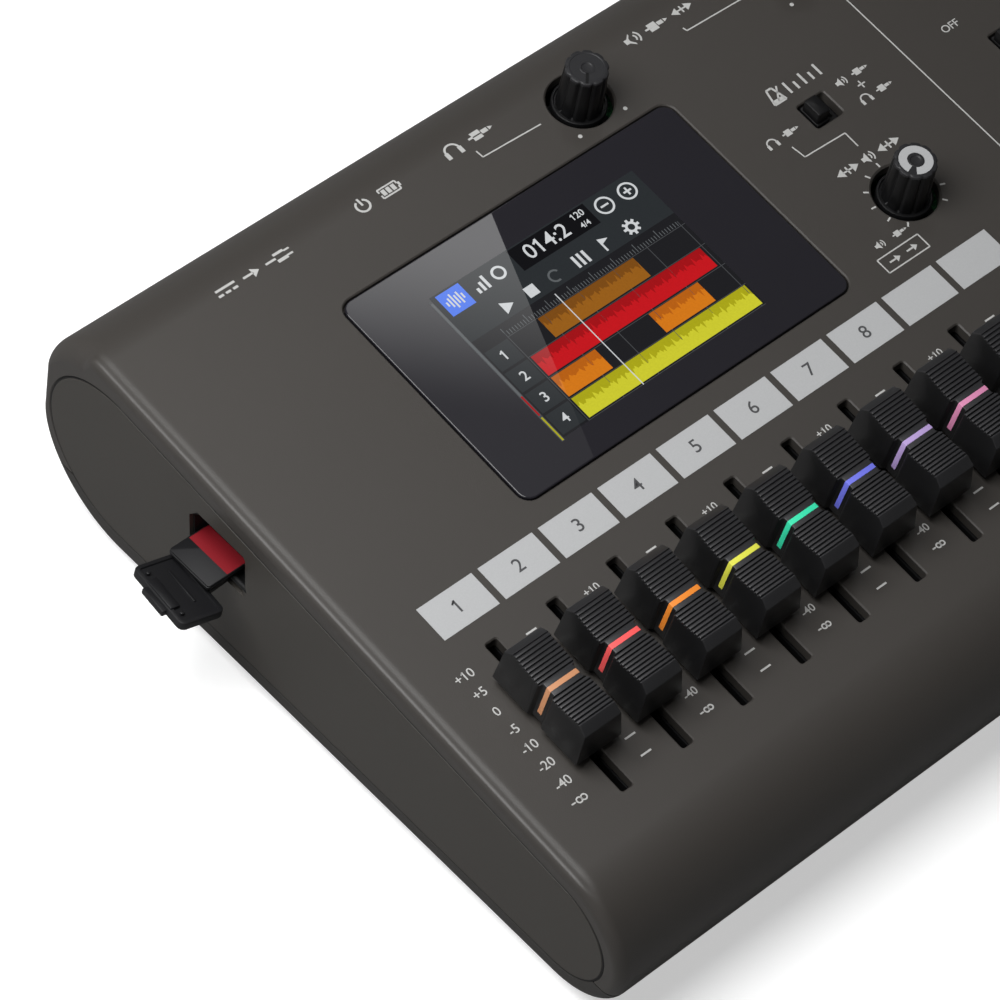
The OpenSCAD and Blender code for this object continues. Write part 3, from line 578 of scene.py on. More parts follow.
hinge = {"x": -halfW + 0.8, "z": cardBay["z"] + 1.6, "r": 0.6}
half = halfW + endPanel["proud"]
for side, name in ((-1, "left_end_panel"), (1, "right_end_panel")):
    panel = acrossX(name + "Dressed", ovalOutline(endPanel["gap"]), (side * (half - endPanel["thick"]), side * half))
    roundEdges(panel, lambda edge: all(abs(v.co.x) > half - 0.01 for v in edge.verts), endPanel["round"], 3)
    if side < 0:
        mouth = cardOutline(-0.2)
        flared = [(y, z + (0.4 if k in (3, 4) else 0)) for k, (y, z) in enumerate(mouth)]
        # narrower inside at its front
        mouth = [(y + (1.3 if k in (0, 4, 5, 6) else 0), z) for k, (y, z) in enumerate(mouth)]
        rings = ((mouth, 3), (mouth, 0.55), (flared, 0), (flared, -1))
        carve(panel, loft("cardMouth", [alongX(shape, x - half) for shape, x in rings]))
        bar = acrossY("doorBar", circlePoints(hinge["r"], 20, (hinge["x"], hinge["z"])), cardBay["y"],
                      cardBay["l"] / 2 + 0.1)
        # a black sleeve inside the card opening: painted shade that keeps the opening dark; the door's hinge bar is
        # joined to it
        mouthShade = acrossX("cardMouthShade", cardOutline(-0.22), (0.9 - half, 9 - half))
        carve(mouthShade, acrossX("mouthShadeRoom", cardOutline(-0.6), (-half, 10 - half)))
        seat(put(smooth(joinAll([mouthShade, bar]), 32, False), caseFrame), "recorder", "track_black", finishes["track"])
    shade = acrossX("endSeamShade", ovalOutline(0.01), [side * (half - x) for x in (1.3, 0.12)])  # black strip at the floor of the seam: painted shade in the gap
    carve(shade, acrossX("seamRoom", ovalOutline(endPanel["gap"] - 0.01), [side * (half - x) for x in (2, -1)]))
    seat(put(smooth(shade), caseFrame), "recorder", "track_black", finishes["track"])
    smooth(panel)
    seat(put(panel, caseFrame), "recorder", "end_grey", finishes["end"], name)

pane = acrossZ("screenPane", rectPoints(glass["w"], glass["l"], glass["r"]), (-glass["thick"], 0))
roundEdges(pane, lambda edge: all(v.co.z > -0.01 for v in edge.verts), 0.3, 3)
smooth(pane)
seat(put(pane, panelFrame @ moved(*glassSpot)), "recorder", "screen_black", finishes["glass"], "screen_glass")
print("end panels and glass done")

cap = {"l": 21.8, "w": 10.4, "topW": 7.8, "waistW": 6.3, "h": 10.9, "foot": 1.6, "dip": 0.8, "facet": 1.9,
       "ribs": 9, "pitch": 0.82, "ribStart": 8.3, "ribDeep": 0.42, "lineW": 1.0,
       "leverW": 1.6, "leverL": 4.4, "leverDeep": 8.4}
lineTones = [(205, 145, 105), (250, 95, 95), (240, 140, 50), (225, 225, 80), (60, 225, 175), (115, 120, 230),
             (185, 160, 215), (220, 140, 180), (180, 180, 180), (235, 235, 235)]
capReach = cap["l"] / 2 - cap["facet"] - 0.5


def capTop(y):  # height of the saddle between the two ends
    r = (capReach ** 2 + cap["dip"] ** 2) / (2 * cap["dip"])
    return cap["h"] - cap["dip"] + r - math.sqrt(r * r - min(abs(y), capReach) ** 2)


def capBody(name):
    l, h, foot = cap["l"] / 2, cap["h"], cap["foot"]
    ys = [capReach - 2 * capReach * k / 32 for k in range(33)]
    side = [(-l, foot), (l, foot), (l - 0.5, h - 1.5)] + [(y, capTop(y)) for y in ys] + [(0.5 - l, h - 1.5)]
    width = lambda z: cap["w"] / 2 + (cap["topW"] - cap["w"]) / 2 * (z - foot) / (h - foot)
    piece = loft(name, [[(s * width(z), y, z) for y, z in side] for s in (-1, 1)])
    lean = math.atan((cap["w"] - cap["topW"]) / 2 / (h - foot))
    for s in (-1, 1):
        tool = acrossZ("notch", [(0, -1.3), (0, 1.3), (s * 3, 3.3), (s * 3, -3.3)], (-2 * h, h))
        carve(piece, put(tool, moved(s * cap["waistW"] / 2, 0, h) @ Matrix.Rotation(-s * lean, 4, "Y")))
    return softEdges(piece, 0.22, 28, 2)


plainCap = capBody("plainCap")
lineBody = copyOf(plainCap, "lineBody")
applyModifier(lineBody, "DISPLACE", strength=0.05, mid_level=0.0)
carve(lineBody, addBox("lineSlab", (40, cap["lineW"], 20), (0, 0, cap["foot"] + 1.7 + 10)), "INTERSECT")
carve(lineBody, addBox("lineCore", (cap["waistW"] - 1.2, 10, 40), (0, 0, cap["h"] - cap["dip"] - 0.7 - 20)))
grooveShape = [(-0.12, -cap["ribDeep"]), (0.12, -cap["ribDeep"]), (0.3, 0.12), (-0.3, 0.12)]
grooves = []
for s in (-1, 1):
    for k in range(cap["ribs"]):
        y = cap["ribStart"] - k * cap["pitch"]
        slope = math.atan((capTop(y + 0.1) - capTop(y - 0.1)) / 0.2)
        groove = acrossX("groove", grooveShape, (-9, 9))
        grooves.append(put(groove, moved(0, s * y, capTop(y)) @ Matrix.Rotation(s * slope, 4, "X")))
ribbedCap = carve(plainCap, joinAll(grooves))
lever = addBox("lever", (cap["leverW"], cap["leverL"], cap["leverDeep"] + cap["foot"]),
               (0, 0, (cap["foot"] + 0.01 - cap["leverDeep"]) / 2))
ribbedCap = smooth(joinAll([ribbedCap, lever]), 30, False)
# faces that point up take the lighter tone: painted light from above
paintedTopLight = ribbedCap.data.attributes.new("paintedTopLight", "FLOAT", "FACE")
for face in ribbedCap.data.polygons:
    paintedTopLight.data[face.index].value = 1.0 if face.normal.z > 0.8 else 0.45 if face.normal.z > 0.4 else 0.0
smooth(lineBody, 30, False)
for k, (u, v) in enumerate(faderSpots, 1):
    place = panelFrame @ moved(u, v + faders["rest"])
    body = "fader_%d_slider" % k
    seat(put(copyOf(ribbedCap, "faderCap%d" % k), place), body, "cap_black", finishes["cap"], "fader_%d" % k)
    seat(put(copyOf(lineBody, "faderLine%d" % k), place), body, "line_%d" % k,
         printInk("lineInk%d" % k, tone(*lineTones[k - 1]), 0.45), "fader_%d_line" % k)
discard(ribbedCap, lineBody)
print("fader caps done")

prints = {"high": 0.03, "deep": 0.02, "labelW": 12.48, "labelV": (47.23, 54.88), "digit": 3.9, "scale": 2.55,
          "stroke": 0.27, "rows": [39.8, 35.7, 31.3, 26.9, 22.8, 18.5, 14.2, 10.1], "numbered": 8}
scaleWords = ["+10", "+5", "0", "-5", "-10", "-20", "-40", ""]


def barPoints(a, b, width):
    run = Vector((b[0] - a[0], b[1] - a[1])).normalized() * (width / 2)
    return [(p[0] - s * run.y, p[1] + s * run.x) for p, s in ((a, 1), (a, -1), (b, -1), (b, 1))]


def arcPoints(mid, r, width, start, end, steps=20):
    turns = [math.radians(start + (end - start) * k / steps) for k in range(steps + 1)]
    return [polar(r + width / 2, a, mid) for a in turns] + [polar(r - width / 2, a, mid) for a in reversed(turns)]


def framePoints(corners, width):
    return [barPoints(a, b, width) for a, b in zip(corners, corners[1:] + corners[:1])]


def slab(points, low=-prints["deep"], high=prints["high"]):
    return acrossZ("slab", points, (low, high))


def lettering(words, size, at, thicken=0.012):
    choose()
    bpy.ops.object.text_add()
    piece = named("lettering")
    piece.data.body, piece.data.size, piece.data.extrude = words, size, 0.025
    piece.data.align_x = piece.data.align_y = "CENTER"
    piece.data.offset, piece.data.resolution_u = thicken, 4
    bpy.ops.object.convert(target="MESH")
    piece = bpy.context.active_object
    if "1" in words:  # this face has a bare stroke for a one, so it gets its flag
        bpy.ops.mesh.separate(type="LOOSE")
        parts = list(bpy.context.selected_objects)
        for part in list(parts):
            xs, ys = [[vert.co[k] for vert in part.data.vertices] for k in (0, 1)]
            left, top, wide = min(xs), max(ys), max(xs) - min(xs)
            if wide < 0.3 * (top - min(ys)):
                flag = barPoints((left + wide * 0.6, top - wide * 0.45), (left - wide * 1.15, top - wide * 1.75), wide * 0.9)
                parts.append(slab(flag, -0.025, 0.025))
        piece = joinAll(parts)
    return put(piece, moved(at[0], at[1], 0.005))


def endless(at, size):  # lying figure of eight after a minus
    r, (u, v) = size * 0.21, at
    loops = [arcPoints((u + 0.25 * size + s * r * 0.95, v), r, 0.28, 0, 359.9, 18) for s in (-1, 1)]
    return [slab(p) for p in loops + [barPoints((u - 0.62 * size, v), (u - 0.28 * size, v), 0.28)]]


def scaleMark(words, size, at):
    return [lettering(words, size, at)] if words else endless(at, size)


# Signs in units of their own size
signs = {
    "headphones": [arcPoints((0, -0.1), 0.42, 0.12, 0, 180)]
    + [boxPoints(s * 0.42 - 0.12, -0.5, s * 0.42 + 0.12, -0.06) for s in (-1, 1)],
    "loudspeaker": [[(-0.5, -0.16), (-0.28, -0.16), (0, -0.42), (0, 0.42), (-0.28, 0.16), (-0.5, 0.16)]]
    + [arcPoints((0, 0), r, 0.1, -48, 48, 10) for r in (0.24, 0.46)],
    "power": [arcPoints((0, 0), 0.4, 0.13, 120, 420), barPoints((0, 0), (0, 0.55), 0.13)],
    "supply": [boxPoints(-0.6, 0.08, 0.6, 0.22)]  # straight line over three dashes
    + [boxPoints(x - 0.18, -0.26, x + 0.12, -0.12) for x in (-0.45, 0, 0.45)],
    "plug": [boxPoints(-0.3, -0.3, 0.3, 0.3), boxPoints(-0.9, -0.06, -0.3, 0.06)]
    + [boxPoints(0.3, y - 0.05, 0.62, y + 0.05) for y in (-0.16, 0.16)],
    "arrow": [[(0.6, 0), (0.1, 0.36), (0.1, -0.36)], boxPoints(-0.6, -0.08, 0.12, 0.08)],
    "battery": framePoints(boxPoints(-0.6, -0.32, 0.6, 0.32), 0.1) + [boxPoints(0.62, -0.14, 0.76, 0.14)]
    + [boxPoints(x, -0.2, x + 0.24, 0.2) for x in (-0.48, -0.15, 0.18)],
    "jack": [boxPoints(-0.62, -0.05, -0.4, 0.05), boxPoints(-0.42, -0.22, 0.02, 0.22),
             boxPoints(0.06, -0.1, 0.36, 0.1), [(0.42, 0.1), (0.42, -0.1), (0.62, 0)]],
    "metronome": framePoints([(-0.42, -0.5), (0.42, -0.5), (0.18, 0.5), (-0.18, 0.5)], 0.12)
    + [barPoints((-0.05, -0.4), (0.5, 0.45), 0.1), boxPoints(-0.36, -0.46, 0.36, -0.22)],
    "twoWays": [[(s * 0.9, 0), (s * 0.35, 0.34), (s * 0.35, -0.34)] for s in (-1, 1)]
    + [boxPoints(-0.4, -0.06, 0.4, 0.06), boxPoints(-0.06, -0.3, 0.06, 0.3)],
}
panelSigns = [("supply", 3.6, 29.0, 126.0), ("arrow", 3.0, 34.6, 126.0), ("plug", 3.8, 41.4, 126.0),
              ("power", 3.4, 60.6, 125.9), ("battery", 3.4, 66.8, 125.9),
              ("headphones", 3.6, 82.0, 126.2), ("jack", 4.6, 88.8, 126.0),
              ("loudspeaker", 3.6, 126.6, 126.0), ("jack", 4.4, 132.6, 126.0), ("twoWays", 2.8, 139.0, 126.0),
              ("metronome", 3.5, 139.6, 100.4), ("loudspeaker", 2.5, 152.2, 95.5), ("jack", 3.2, 157.0, 95.6),
              ("headphones", 2.5, 153.4, 90.1), ("jack", 3.2, 158.2, 90.0),
              ("headphones", 2.5, 131.6, 92.6), ("jack", 3.2, 136.4, 92.6),
              ("twoWays", 3.0, 139.0, 79.6), ("loudspeaker", 2.9, 144.2, 79.6), ("twoWays", 3.0, 149.4, 79.6),
              ("loudspeaker", 2.2, 132.2, 63.7), ("jack", 2.8, 137.2, 63.7),
              ("arrow", 2.2, 132.3, 59.7), ("arrow", 2.2, 136.6, 59.7)]
panelLines = [[(134.14, 89.72), (134.56, 86.59), (144.55, 86.28), (144.48, 82.64)],
              [(85.45, 123.23), (85.6, 121.48), (99.3, 120.98)], [(136.2, 122.43), (136.4, 121.5), (151.5, 121.1)],
              [(166.6, 118.0), (166.6, 62.0)], [(166.6, 62.0), (258.0, 62.0)],
              [(129.3, 61.4), (129.3, 58.0), (139.6, 58.0), (139.6, 61.4), (129.3, 61.4)]]
panelWords = [("OFF", 2.4, 178.6, 28), ("ON", 2.4, 193.6, 28), ("OFF", 2.4, 216.6, 28), ("ON", 2.4, 231.6, 28),
              ("1", 3.2, 189.7, 1.2), ("2", 3.2, 227.7, 1.2)]


def drawSign(name, size, u, v):
    return [slab([(u + size * x, v + size * y) for x, y in shape]) for shape in signs[name]]


def ontoPanel(pieces):  # prints follow the panel where it starts to roll off at the rear
    piece = joinAll(pieces)
    for vert in piece.data.vertices:
        past = max(0.0, vert.co.y - panelL)
        vert.co.z -= past * past / (2 * topR)
    return put(piece, panelFrame)


labels, digits, white = [], [], []
labelHalf, (labelLow, labelHigh) = prints["labelW"] / 2, prints["labelV"]
for k, (u, v) in enumerate(faderSpots, 1):
    labels.append(slab(boxPoints(u - labelHalf, labelLow, u + labelHalf, labelHigh)))
    if k <= prints["numbered"]:
        digits.append(put(lettering(str(k), prints["digit"], (u, (labelLow + labelHigh) / 2)), moved(0, 0, 0.03)))
for words, v in zip(scaleWords, prints["rows"]):
    white += scaleMark(words, prints["scale"], (11.1 if words else 11.0, v))
for k in range(faders["count"] - 1):  # ticks and figures take turns between the faders
    mid = faders["first"] + (k + 0.5) * faders["pitch"]
    for words, v in zip(scaleWords, prints["rows"]):
        if k % 2 == 0:
            white.append(slab(boxPoints(mid - 1.15, v - 0.18, mid + 1.15, v + 0.18)))
        else:
            white += scaleMark(words, prints["scale"] * 0.86, (mid, v))
for path in panelLines:
    white += [slab(barPoints(a, b, prints["stroke"])) for a, b in zip(path, path[1:])]
for name in ("phones", "output", "gain_1", "gain_2"):  # dots at the ends of the knobs' turns
    u, v = knobs[name]
    white += [slab(circlePoints(0.42, 20, (u + s * 5.6, v - 6.45))) for s in (-1, 1)]
for k in range(11):
    a = math.radians(230 - 28 * k)
    white.append(slab(barPoints(polar(6.95, a, knobs["balance"]), polar(8.0, a, knobs["balance"]), 0.34)))
for sign in panelSigns:
    white += drawSign(*sign)
boxes = [(142.6 + 1.9 * k, 99.0, 143.1 + 1.9 * k, 101.8 - 0.9 * (k % 2)) for k in range(5)]
boxes += [(154.1, 92.75, 155.9, 93.05), (154.85, 92.0, 155.15, 93.8)]
white += [slab(boxPoints(*box)) for box in boxes]
white += [lettering(words, size, (u, knobRow - down)) for words, size, u, down in panelWords]
seat(ontoPanel(labels), "recorder", "case_grey", finishes["label"]).name = "channelLabels"
seat(ontoPanel(digits), "recorder", "case_grey", finishes["digit"]).name = "channelDigits"
seat(ontoPanel(white), "recorder", "case_grey", finishes["ink"]).name = "panelPrint"
print("prints done")

knob = {"flange": 5.4, "top": 4.1, "h": 9.7, "flutes": 10, "fluteDeep": 0.42, "sides": 120, "rest": -132, "shaft": 3.0}


def flutedRing(r, z, deep):
    points = []
    for k in range(knob["sides"]):
        a = math.tau * k / knob["sides"]
        bite = max(0.0, math.cos(knob["flutes"] * (a - math.radians(knob["rest"] + 18)))) ** 2
        points.append((*polar(r - deep * bite, a), z))
    return points


def knobBody(name):
    h, top, deep, ring = knob["h"] - 0.7, knob["top"], knob["fluteDeep"], knob["flange"]
    steps = [(ring, -1.9, 0), (ring, -0.85, 0), (ring - 0.1, -0.66, 0), (ring - 0.3, -0.58, 0), (ring - 0.5, -0.62, 0),
             (ring - 0.62, -0.95, 0), (top + 0.4, -0.95, 0), (top + 0.38, -0.6, deep), (top + 0.02, h - 0.1, deep),
             (top - 0.25, h, deep), (0.5, h, 0)]
    body = loft(name, [flutedRing(*step) for step in steps])
    return joinAll([body, acrossZ("shaft", circlePoints(knob["shaft"], 40), (-9.2, -1.5))])


def knobCrown(name):
    h, top, deep = knob["h"], knob["top"], knob["fluteDeep"] * 0.75
    steps = [(top - 0.3, h - 0.72, deep), (top + 0.06, h - 0.62, deep), (top + 0.06, h - 0.3, deep),
             (top - 0.04, h - 0.1, deep), (top - 0.28, h, deep * 0.7), (top - 0.75, h, 0), (top - 0.85, h - 0.08, 0),
             (1.5, h - 0.08, 0), (1.42, h - 0.02, 0), (1.15, h - 0.02, 0), (0.95, h - 0.2, 0), (0.4, h - 0.26, 0)]
    return loft(name, [flutedRing(*step) for step in steps])


plainCrown = smooth(knobCrown("plainCrown"), 32, False)
plainKnob = smooth(knobBody("plainKnob"), 38, False)
restTurn, knobH = math.radians(knob["rest"]), knob["h"]
for name, at in knobs.items():
    place = panelFrame @ moved(*at)
    body = name + "_knob_body"
    seat(put(copyOf(plainKnob, name + "Knob"), place), body, "knob_black", finishes["knob"], name + "_knob")
    # the crown's lighter grey is painted light on the knob's top
    seat(put(copyOf(plainCrown, name + "Crown"), place), body, "knob_black", finishes["knobLitTop"])
    if name == "balance":
        ring = arcPoints((0, 0), 2.45, 1.6, knob["rest"] + 2, knob["rest"] + 332, 48)
        mark = slab(ring, knobH - 0.02, knobH + 0.06)
        seat(put(mark, place), body, "knob_black", finishes["label"]).name = "balanceRing"
    else:
        mark = slab(barPoints(polar(1.3, restTurn), polar(3.75, restTurn), 0.5), knobH - 0.1, knobH + 0.1)
        kind = "knob" if name in ("phones", "output") else "label"
        seat(put(mark, place), body, "knob_black", finishes[kind]).name = name + "Pointer"
discard(plainKnob, plainCrown)
print("knobs done")

slide = {"w": 3.3, "l": 5.2, "tabW": 3.0, "tabL": 4.4, "tabHigh": 2.4, "travel": 2.6}
high = slide["tabHigh"]
block = softEdges(acrossZ("slideBlock", rectPoints(slide["w"], slide["l"], 0.3, 0, 3), (-2.3, -0.2)), 0.15)
tab = loft("slideTab", [flat(rectPoints(slide["tabW"], slide["tabL"], 0.5, g, 4), z)
                        for g, z in ((0, -0.4), (0, high - 0.35), (-0.1, high - 0.1), (-0.35, high))])
plainSlide = smooth(joinAll([block, tab, addBox("slideFoot", (2, 1.6, 2.2), (0, 0, -2.9))]), 35, False)
for name, (u, v) in switches.items():
    seat(put(copyOf(plainSlide, name + "Slide"), panelFrame @ moved(u - slide["travel"] / 2, v)),
         name + "_switch_slider", "switch_black", finishes["knob"], name + "_switch")
discard(plainSlide)

key = {"w": 20, "l": 13, "high": 1.5, "flangeW": 22.4, "flangeL": 15.4, "r": 1.8}
high = key["high"]
padSteps = [(0, -4.2), (0, high - 0.6), (-0.15, high - 0.2), (-0.55, high), (-1.6, high - 0.05), (-1.79, high - 0.06)]
pad = loft("keyPad", [flat(rectPoints(key["w"], key["l"], key["r"], g), z) for g, z in padSteps])
flange = acrossZ("keyFlange", rectPoints(key["flangeW"], key["flangeL"], key["r"]), (-4.2, -2.8))
plainKey = smooth(joinAll([pad, flange, acrossZ("keyStem", circlePoints(2, 24), (-6.0, -4.0))]), 35, False)
keySigns = {"rewind": [[(0.2, 0), (2.6, 1.7), (2.6, -1.7)], [(-2.6, 0), (-0.2, 1.7), (-0.2, -1.7)]],
            "forward": [[(-0.2, 0), (-2.6, -1.7), (-2.6, 1.7)], [(2.6, 0), (0.2, -1.7), (0.2, 1.7)]],
            "stop": [boxPoints(-1.6, -1.6, 1.6, 1.6)], "play": [[(2.0, 0), (-1.4, 2.0), (-1.4, -2.0)]],
            "record": [circlePoints(1.8, 36)]}
for name, at in keys.items():
    place = panelFrame @ moved(*at)
    seat(put(copyOf(plainKey, name + "Key"), place), name + "_key", "button_grey", finishes["key"], name + "_button")
    sign = joinAll([slab(points, high - 0.1, high + 0.03) for points in keySigns[name]])
    kind = "record" if name == "record" else "ink"
    seat(put(sign, place), name + "_key", "button_grey", finishes[kind]).name = name + "Sign"
discard(plainKey)
print("switches and keys done")

card = {"w": 11, "thick": 1, "out": 5.5, "y": 29.4, "z": 25.5, "faceDeep": 0.3}
edge, cardTop = -halfW - card["out"], card["z"] + card["thick"]
cardShape = [(0, 0.5), (0.15, 0.15), (0.5, 0), (14.6, 0), (15, 0.4), (15, 9.4), (13.6, 9.4), (12.4, 10.2),
             (9.2, 10.2), (8.6, 11), (0.5, 11), (0.15, 10.85), (0, 10.5)]
cardShape = [(edge + x, card["y"] - card["w"] / 2 + y) for x, y in cardShape]
faceShape = [(x + (0.2 if x < edge + 1 else 0), y) for x, y in cardShape]
chip = acrossZ("memoryCardBody", cardShape, (card["z"], cardTop - card["faceDeep"]))
chipFace = acrossZ("cardFace", faceShape, (cardTop - card["faceDeep"], cardTop))
ridge = addBox("cardRidge", (1.0, card["w"] - 1.2, 0.35), (edge + 1.0, card["y"], card["z"] + 0.02))
memoryCard = smooth(softEdges(joinAll([chip, chipFace, ridge]), 0.1, 40), 30, False)
seat(put(memoryCard, caseFrame), "card", "card_black", finishes["card"], "memory_card")
band = slab(boxPoints(edge + 4.5, card["y"] - 5.35, edge + 9.0, card["y"] + 5.2), cardTop - 0.05, cardTop + 0.02)
seat(put(band, caseFrame), "card", "card_black", finishes["red"]).name = "cardBand"

door = {"reach": 15.1, "inset": 4.8, "l": 15.6, "thick": 1.9, "lean": 14.5, "twist": -5.0, "aside": 0.5,
        "strap": 6, "rim": 0.9, "dish": 0.3, "eyeR": 1.1, "boreR": 0.65}
lean, twist = math.radians(door["lean"]), math.radians(door["twist"])
doorL = (door["reach"] - door["inset"] + 3 * math.sin(twist)) / (math.cos(lean) * math.cos(twist)) - 0.9
low, thick, rim = cardBay["z"] + 0.25, door["thick"], door["rim"]
plateSteps = [(-0.35, 0), (0, 0.35), (0, thick - 0.35), (-0.1, thick - 0.1), (-0.35, thick), (-rim, thick),
              (-rim - 0.12, thick - door["dish"])]
plate = loft("doorPlate", [[(x - doorL / 2, y, z) for x, y in rectPoints(doorL, door["l"], 1.3, g, 5)]
                           for g, z in plateSteps])
doorParts = [plate]
for name, size, at, soft in (("doorRib", (0.55, 8.2, 0.5), (0.9 - doorL / 2, 0.4, thick - door["dish"]), 0.12),
                             ("doorTab", (1.8, 6.4, thick - 0.6), (-doorL, 0, (thick - 0.6) / 2), 0.25),
                             ("doorRidge", (2.1, 7.6, 0.9), (1.3 - doorL, 0, thick - 0.1), 0.25)):
    doorParts.append(softEdges(addBox(name, size, at), soft))
for s in (-1, 1):
    pip = lathe("doorPip", [(0.42, 0), (0.42, 0.3), (0.3, 0.42)], 20)
    doorParts.append(softEdges(put(pip, moved(1.7 - doorL, s * 5.3, thick - 0.1)), 0.05))
doorX = -halfW - door["inset"]
cover = put(joinAll(doorParts), moved(doorX, cardBay["y"] - door["aside"], low)
            @ Matrix.Rotation(twist, 4, "Z") @ Matrix.Rotation(lean, 4, "Y"))
strapShape = [(hinge["x"], hinge["z"] - 0.5), (hinge["x"], hinge["z"] + 0.5), (doorX - 0.8, low + 1.3), (doorX - 0.8, low + 0.4)]
strap = acrossY("doorStrap", strapShape, cardBay["y"], door["strap"] / 2)
eye = acrossY("doorEye", circlePoints(door["eyeR"], 24, (hinge["x"], hinge["z"])), cardBay["y"], door["strap"] / 2)
for piece in (strap, eye):
    carve(piece, acrossY("eyeBore", circlePoints(door["boreR"], 24, (hinge["x"], hinge["z"])), cardBay["y"], 6))
cardDoor = smooth(joinAll([cover, softEdges(strap, 0.12), eye]), 32, False)
seat(put(cardDoor, caseFrame), "card_cover", "cover_black", finishes["door"], "card_door")
print("card and its door done")

screen = {"u": 57.03, "v": 66.42, "w": 48.96, "h": 36.72, "n": 0.015, "layer": 0.012, "row": 5.5, "side": 6.0}
pixelTones = {"back": (24, 24, 26), "bar": (38, 42, 44), "grid": (70, 72, 74), "box": (4, 4, 5),
              "sign": (205, 208, 210), "blue": (72, 118, 232), "amber": (122, 72, 8), "amberTop": (150, 92, 16),
              "red": (160, 6, 12), "redTop": (194, 14, 22), "orange": (182, 94, 6), "orangeTop": (210, 118, 14),
              "yellow": (168, 164, 14), "yellowTop": (202, 200, 44), "dim": (92, 96, 98)}
pixels = {name: litPixels(name + "Pixels", tone(*colour)) for name, colour in pixelTones.items()}
picture = {name: [] for name in pixels}


def lit(name, points, layer=1):
    base = screen["n"] + screen["layer"] * layer
    picture[name].append(slab([(screen["u"] + x, screen["v"] + y) for x, y in points], base - 0.02, base))


def litBox(name, u0, v0, u1, v1, layer=1):
    lit(name, boxPoints(u0, v0, u1, v1), layer)


def litWords(name, words, size, at, layer=3):
    piece = lettering(words, size, (screen["u"] + at[0], screen["v"] + at[1]), 0.02)
    picture[name].append(put(piece, moved(0, 0, screen["n"] + screen["layer"] * layer - 0.03)))


def wave(x, seed):  # made-up loudness along a clip
    return 0.5 + 0.5 * math.sin(x * 3.1 + seed) * math.sin(x * 7.7 + 2 * seed) * math.cos(x * 1.3 + seed * seed)


def clip(row, x0, x1, name, seed):
    y0 = 0.45 + row * screen["row"]
    high = screen["row"] - 0.55
    litBox(name, x0, y0, x1, y0 + high)
    count = int((x1 - x0) / 0.33)
    crest = [(x0 + (x1 - x0) * k / count, y0 + high * (0.36 + 0.5 * wave(x0 + k * 0.33, seed)))
             for k in range(count + 1)]
    lit(name + "Top", [(x0, y0), (x1, y0)] + crest[::-1], 2)


w, h, side, row = screen["w"], screen["h"], screen["side"], screen["row"]
top, mid = h - 6.0, 4 * row + 5.2  # the upper and the lower line of signs
litBox("back", 0, 0, w, h, 0)
litBox("bar", 0, 4 * row + 3.0, w, h)
for k in range(4):  # rows with their numbers
    litBox("bar", 0.3, 0.45 + k * row, side - 0.3, (k + 1) * row - 0.1)
    litWords("sign", str(4 - k), 3.0, (side / 2, (k + 0.5) * row + 0.15))
for k in range(5):
    litBox("grid", side, k * row, w, k * row + 0.12)
for k in range(6):
    litBox("grid", side + k * 8.4, 0, side + k * 8.4 + 0.14, 4 * row + 1.2)
for k in range(64):  # ruler
    litBox("dim", side + 0.66 * k, 4 * row + 0.3, side + 0.66 * k + 0.14, 4 * row + (2.2 if k % 8 == 0 else 1.3))
clip(3, 13.0, 36.0, "amber", 1.0)
clip(2, side + 0.5, w - 1.5, "red", 2.3)
clip(1, side + 0.5, 17.0, "orange", 3.1)
clip(1, 30.0, 42.0, "orange", 0.4)
clip(0, side + 0.5, w - 0.4, "yellow", 4.6)
litBox("sign", side + 13.0, 0, side + 13.2, 4 * row + 2.2, 4)
litBox("grid", -0.8, -0.5, -0.1, h - 0.6)  # edge of the lit display; the pale strip on its upper part is a painted highlight on the bevel
litBox("dim", -0.65, 2 * row, -0.2, h - 1.2, 2)
# red and yellow glints on the bevel beside the clips: painted reflection
litBox("red", -0.6, row + 0.5, -0.25, 2 * row, 2)
litBox("yellow", -0.6, -0.4, -0.25, row, 2)
litBox("blue", 1.0, top + 0.4, 6.4, top + 5.6, 2)
for k, tall in enumerate((1.0, 2.2, 3.4, 2.0, 2.8, 1.2)):
    litBox("sign", 1.75 + 0.7 * k, top + 3 - tall / 2, 2.1 + 0.7 * k, top + 3 + tall / 2, 3)
for k in range(3):  # level signs beside the blue one
    litBox("sign", 8.2 + 1.1 * k, top + 1.4, 8.8 + 1.1 * k, top + 2.6 + 0.9 * k, 2)
lit("sign", circlePoints(1.5, 24, (13.9, top + 3)), 2)
lit("bar", circlePoints(1.0, 24, (13.9, top + 3)), 3)
litBox("box", 18.0, top + 0.5, 36.5, top + 5.7, 2)
litWords("sign", "014:2", 4.6, (25.6, top + 3.1))
litWords("sign", "120", 2.0, (34.0, top + 4.3))
litWords("sign", "4/4", 1.7, (34.0, top + 1.9))
for x, cross in ((39.6, False), (45.2, True)):
    lit("sign", arcPoints((x, top + 3), 1.75, 0.42, 0, 359.9, 28), 2)
    litBox("sign", x - 0.9, top + 2.8, x + 0.9, top + 3.2, 2)
    if cross:
        litBox("sign", x - 0.2, top + 2.1, x + 0.2, top + 3.9, 2)
lit("sign", [(9.4, mid - 1.4), (9.4, mid + 1.4), (11.8, mid)], 2)
litBox("sign", 15.0, mid - 1.2, 17.3, mid + 1.2, 2)
lit("dim", arcPoints((21.8, mid), 1.2, 0.4, 30, 290, 20), 2)
for k in range(3):
    litBox("sign", 26.6 + 1.2 * k, mid - 1.4, 27.2 + 1.2 * k, mid + 1.4, 2)
lit("sign", [(33.2, mid - 1.5), (33.6, mid - 1.5), (33.6, mid + 0.2), (35.2, mid + 0.8), (33.2, mid + 1.6)], 2)
wheel = (40.4, mid)
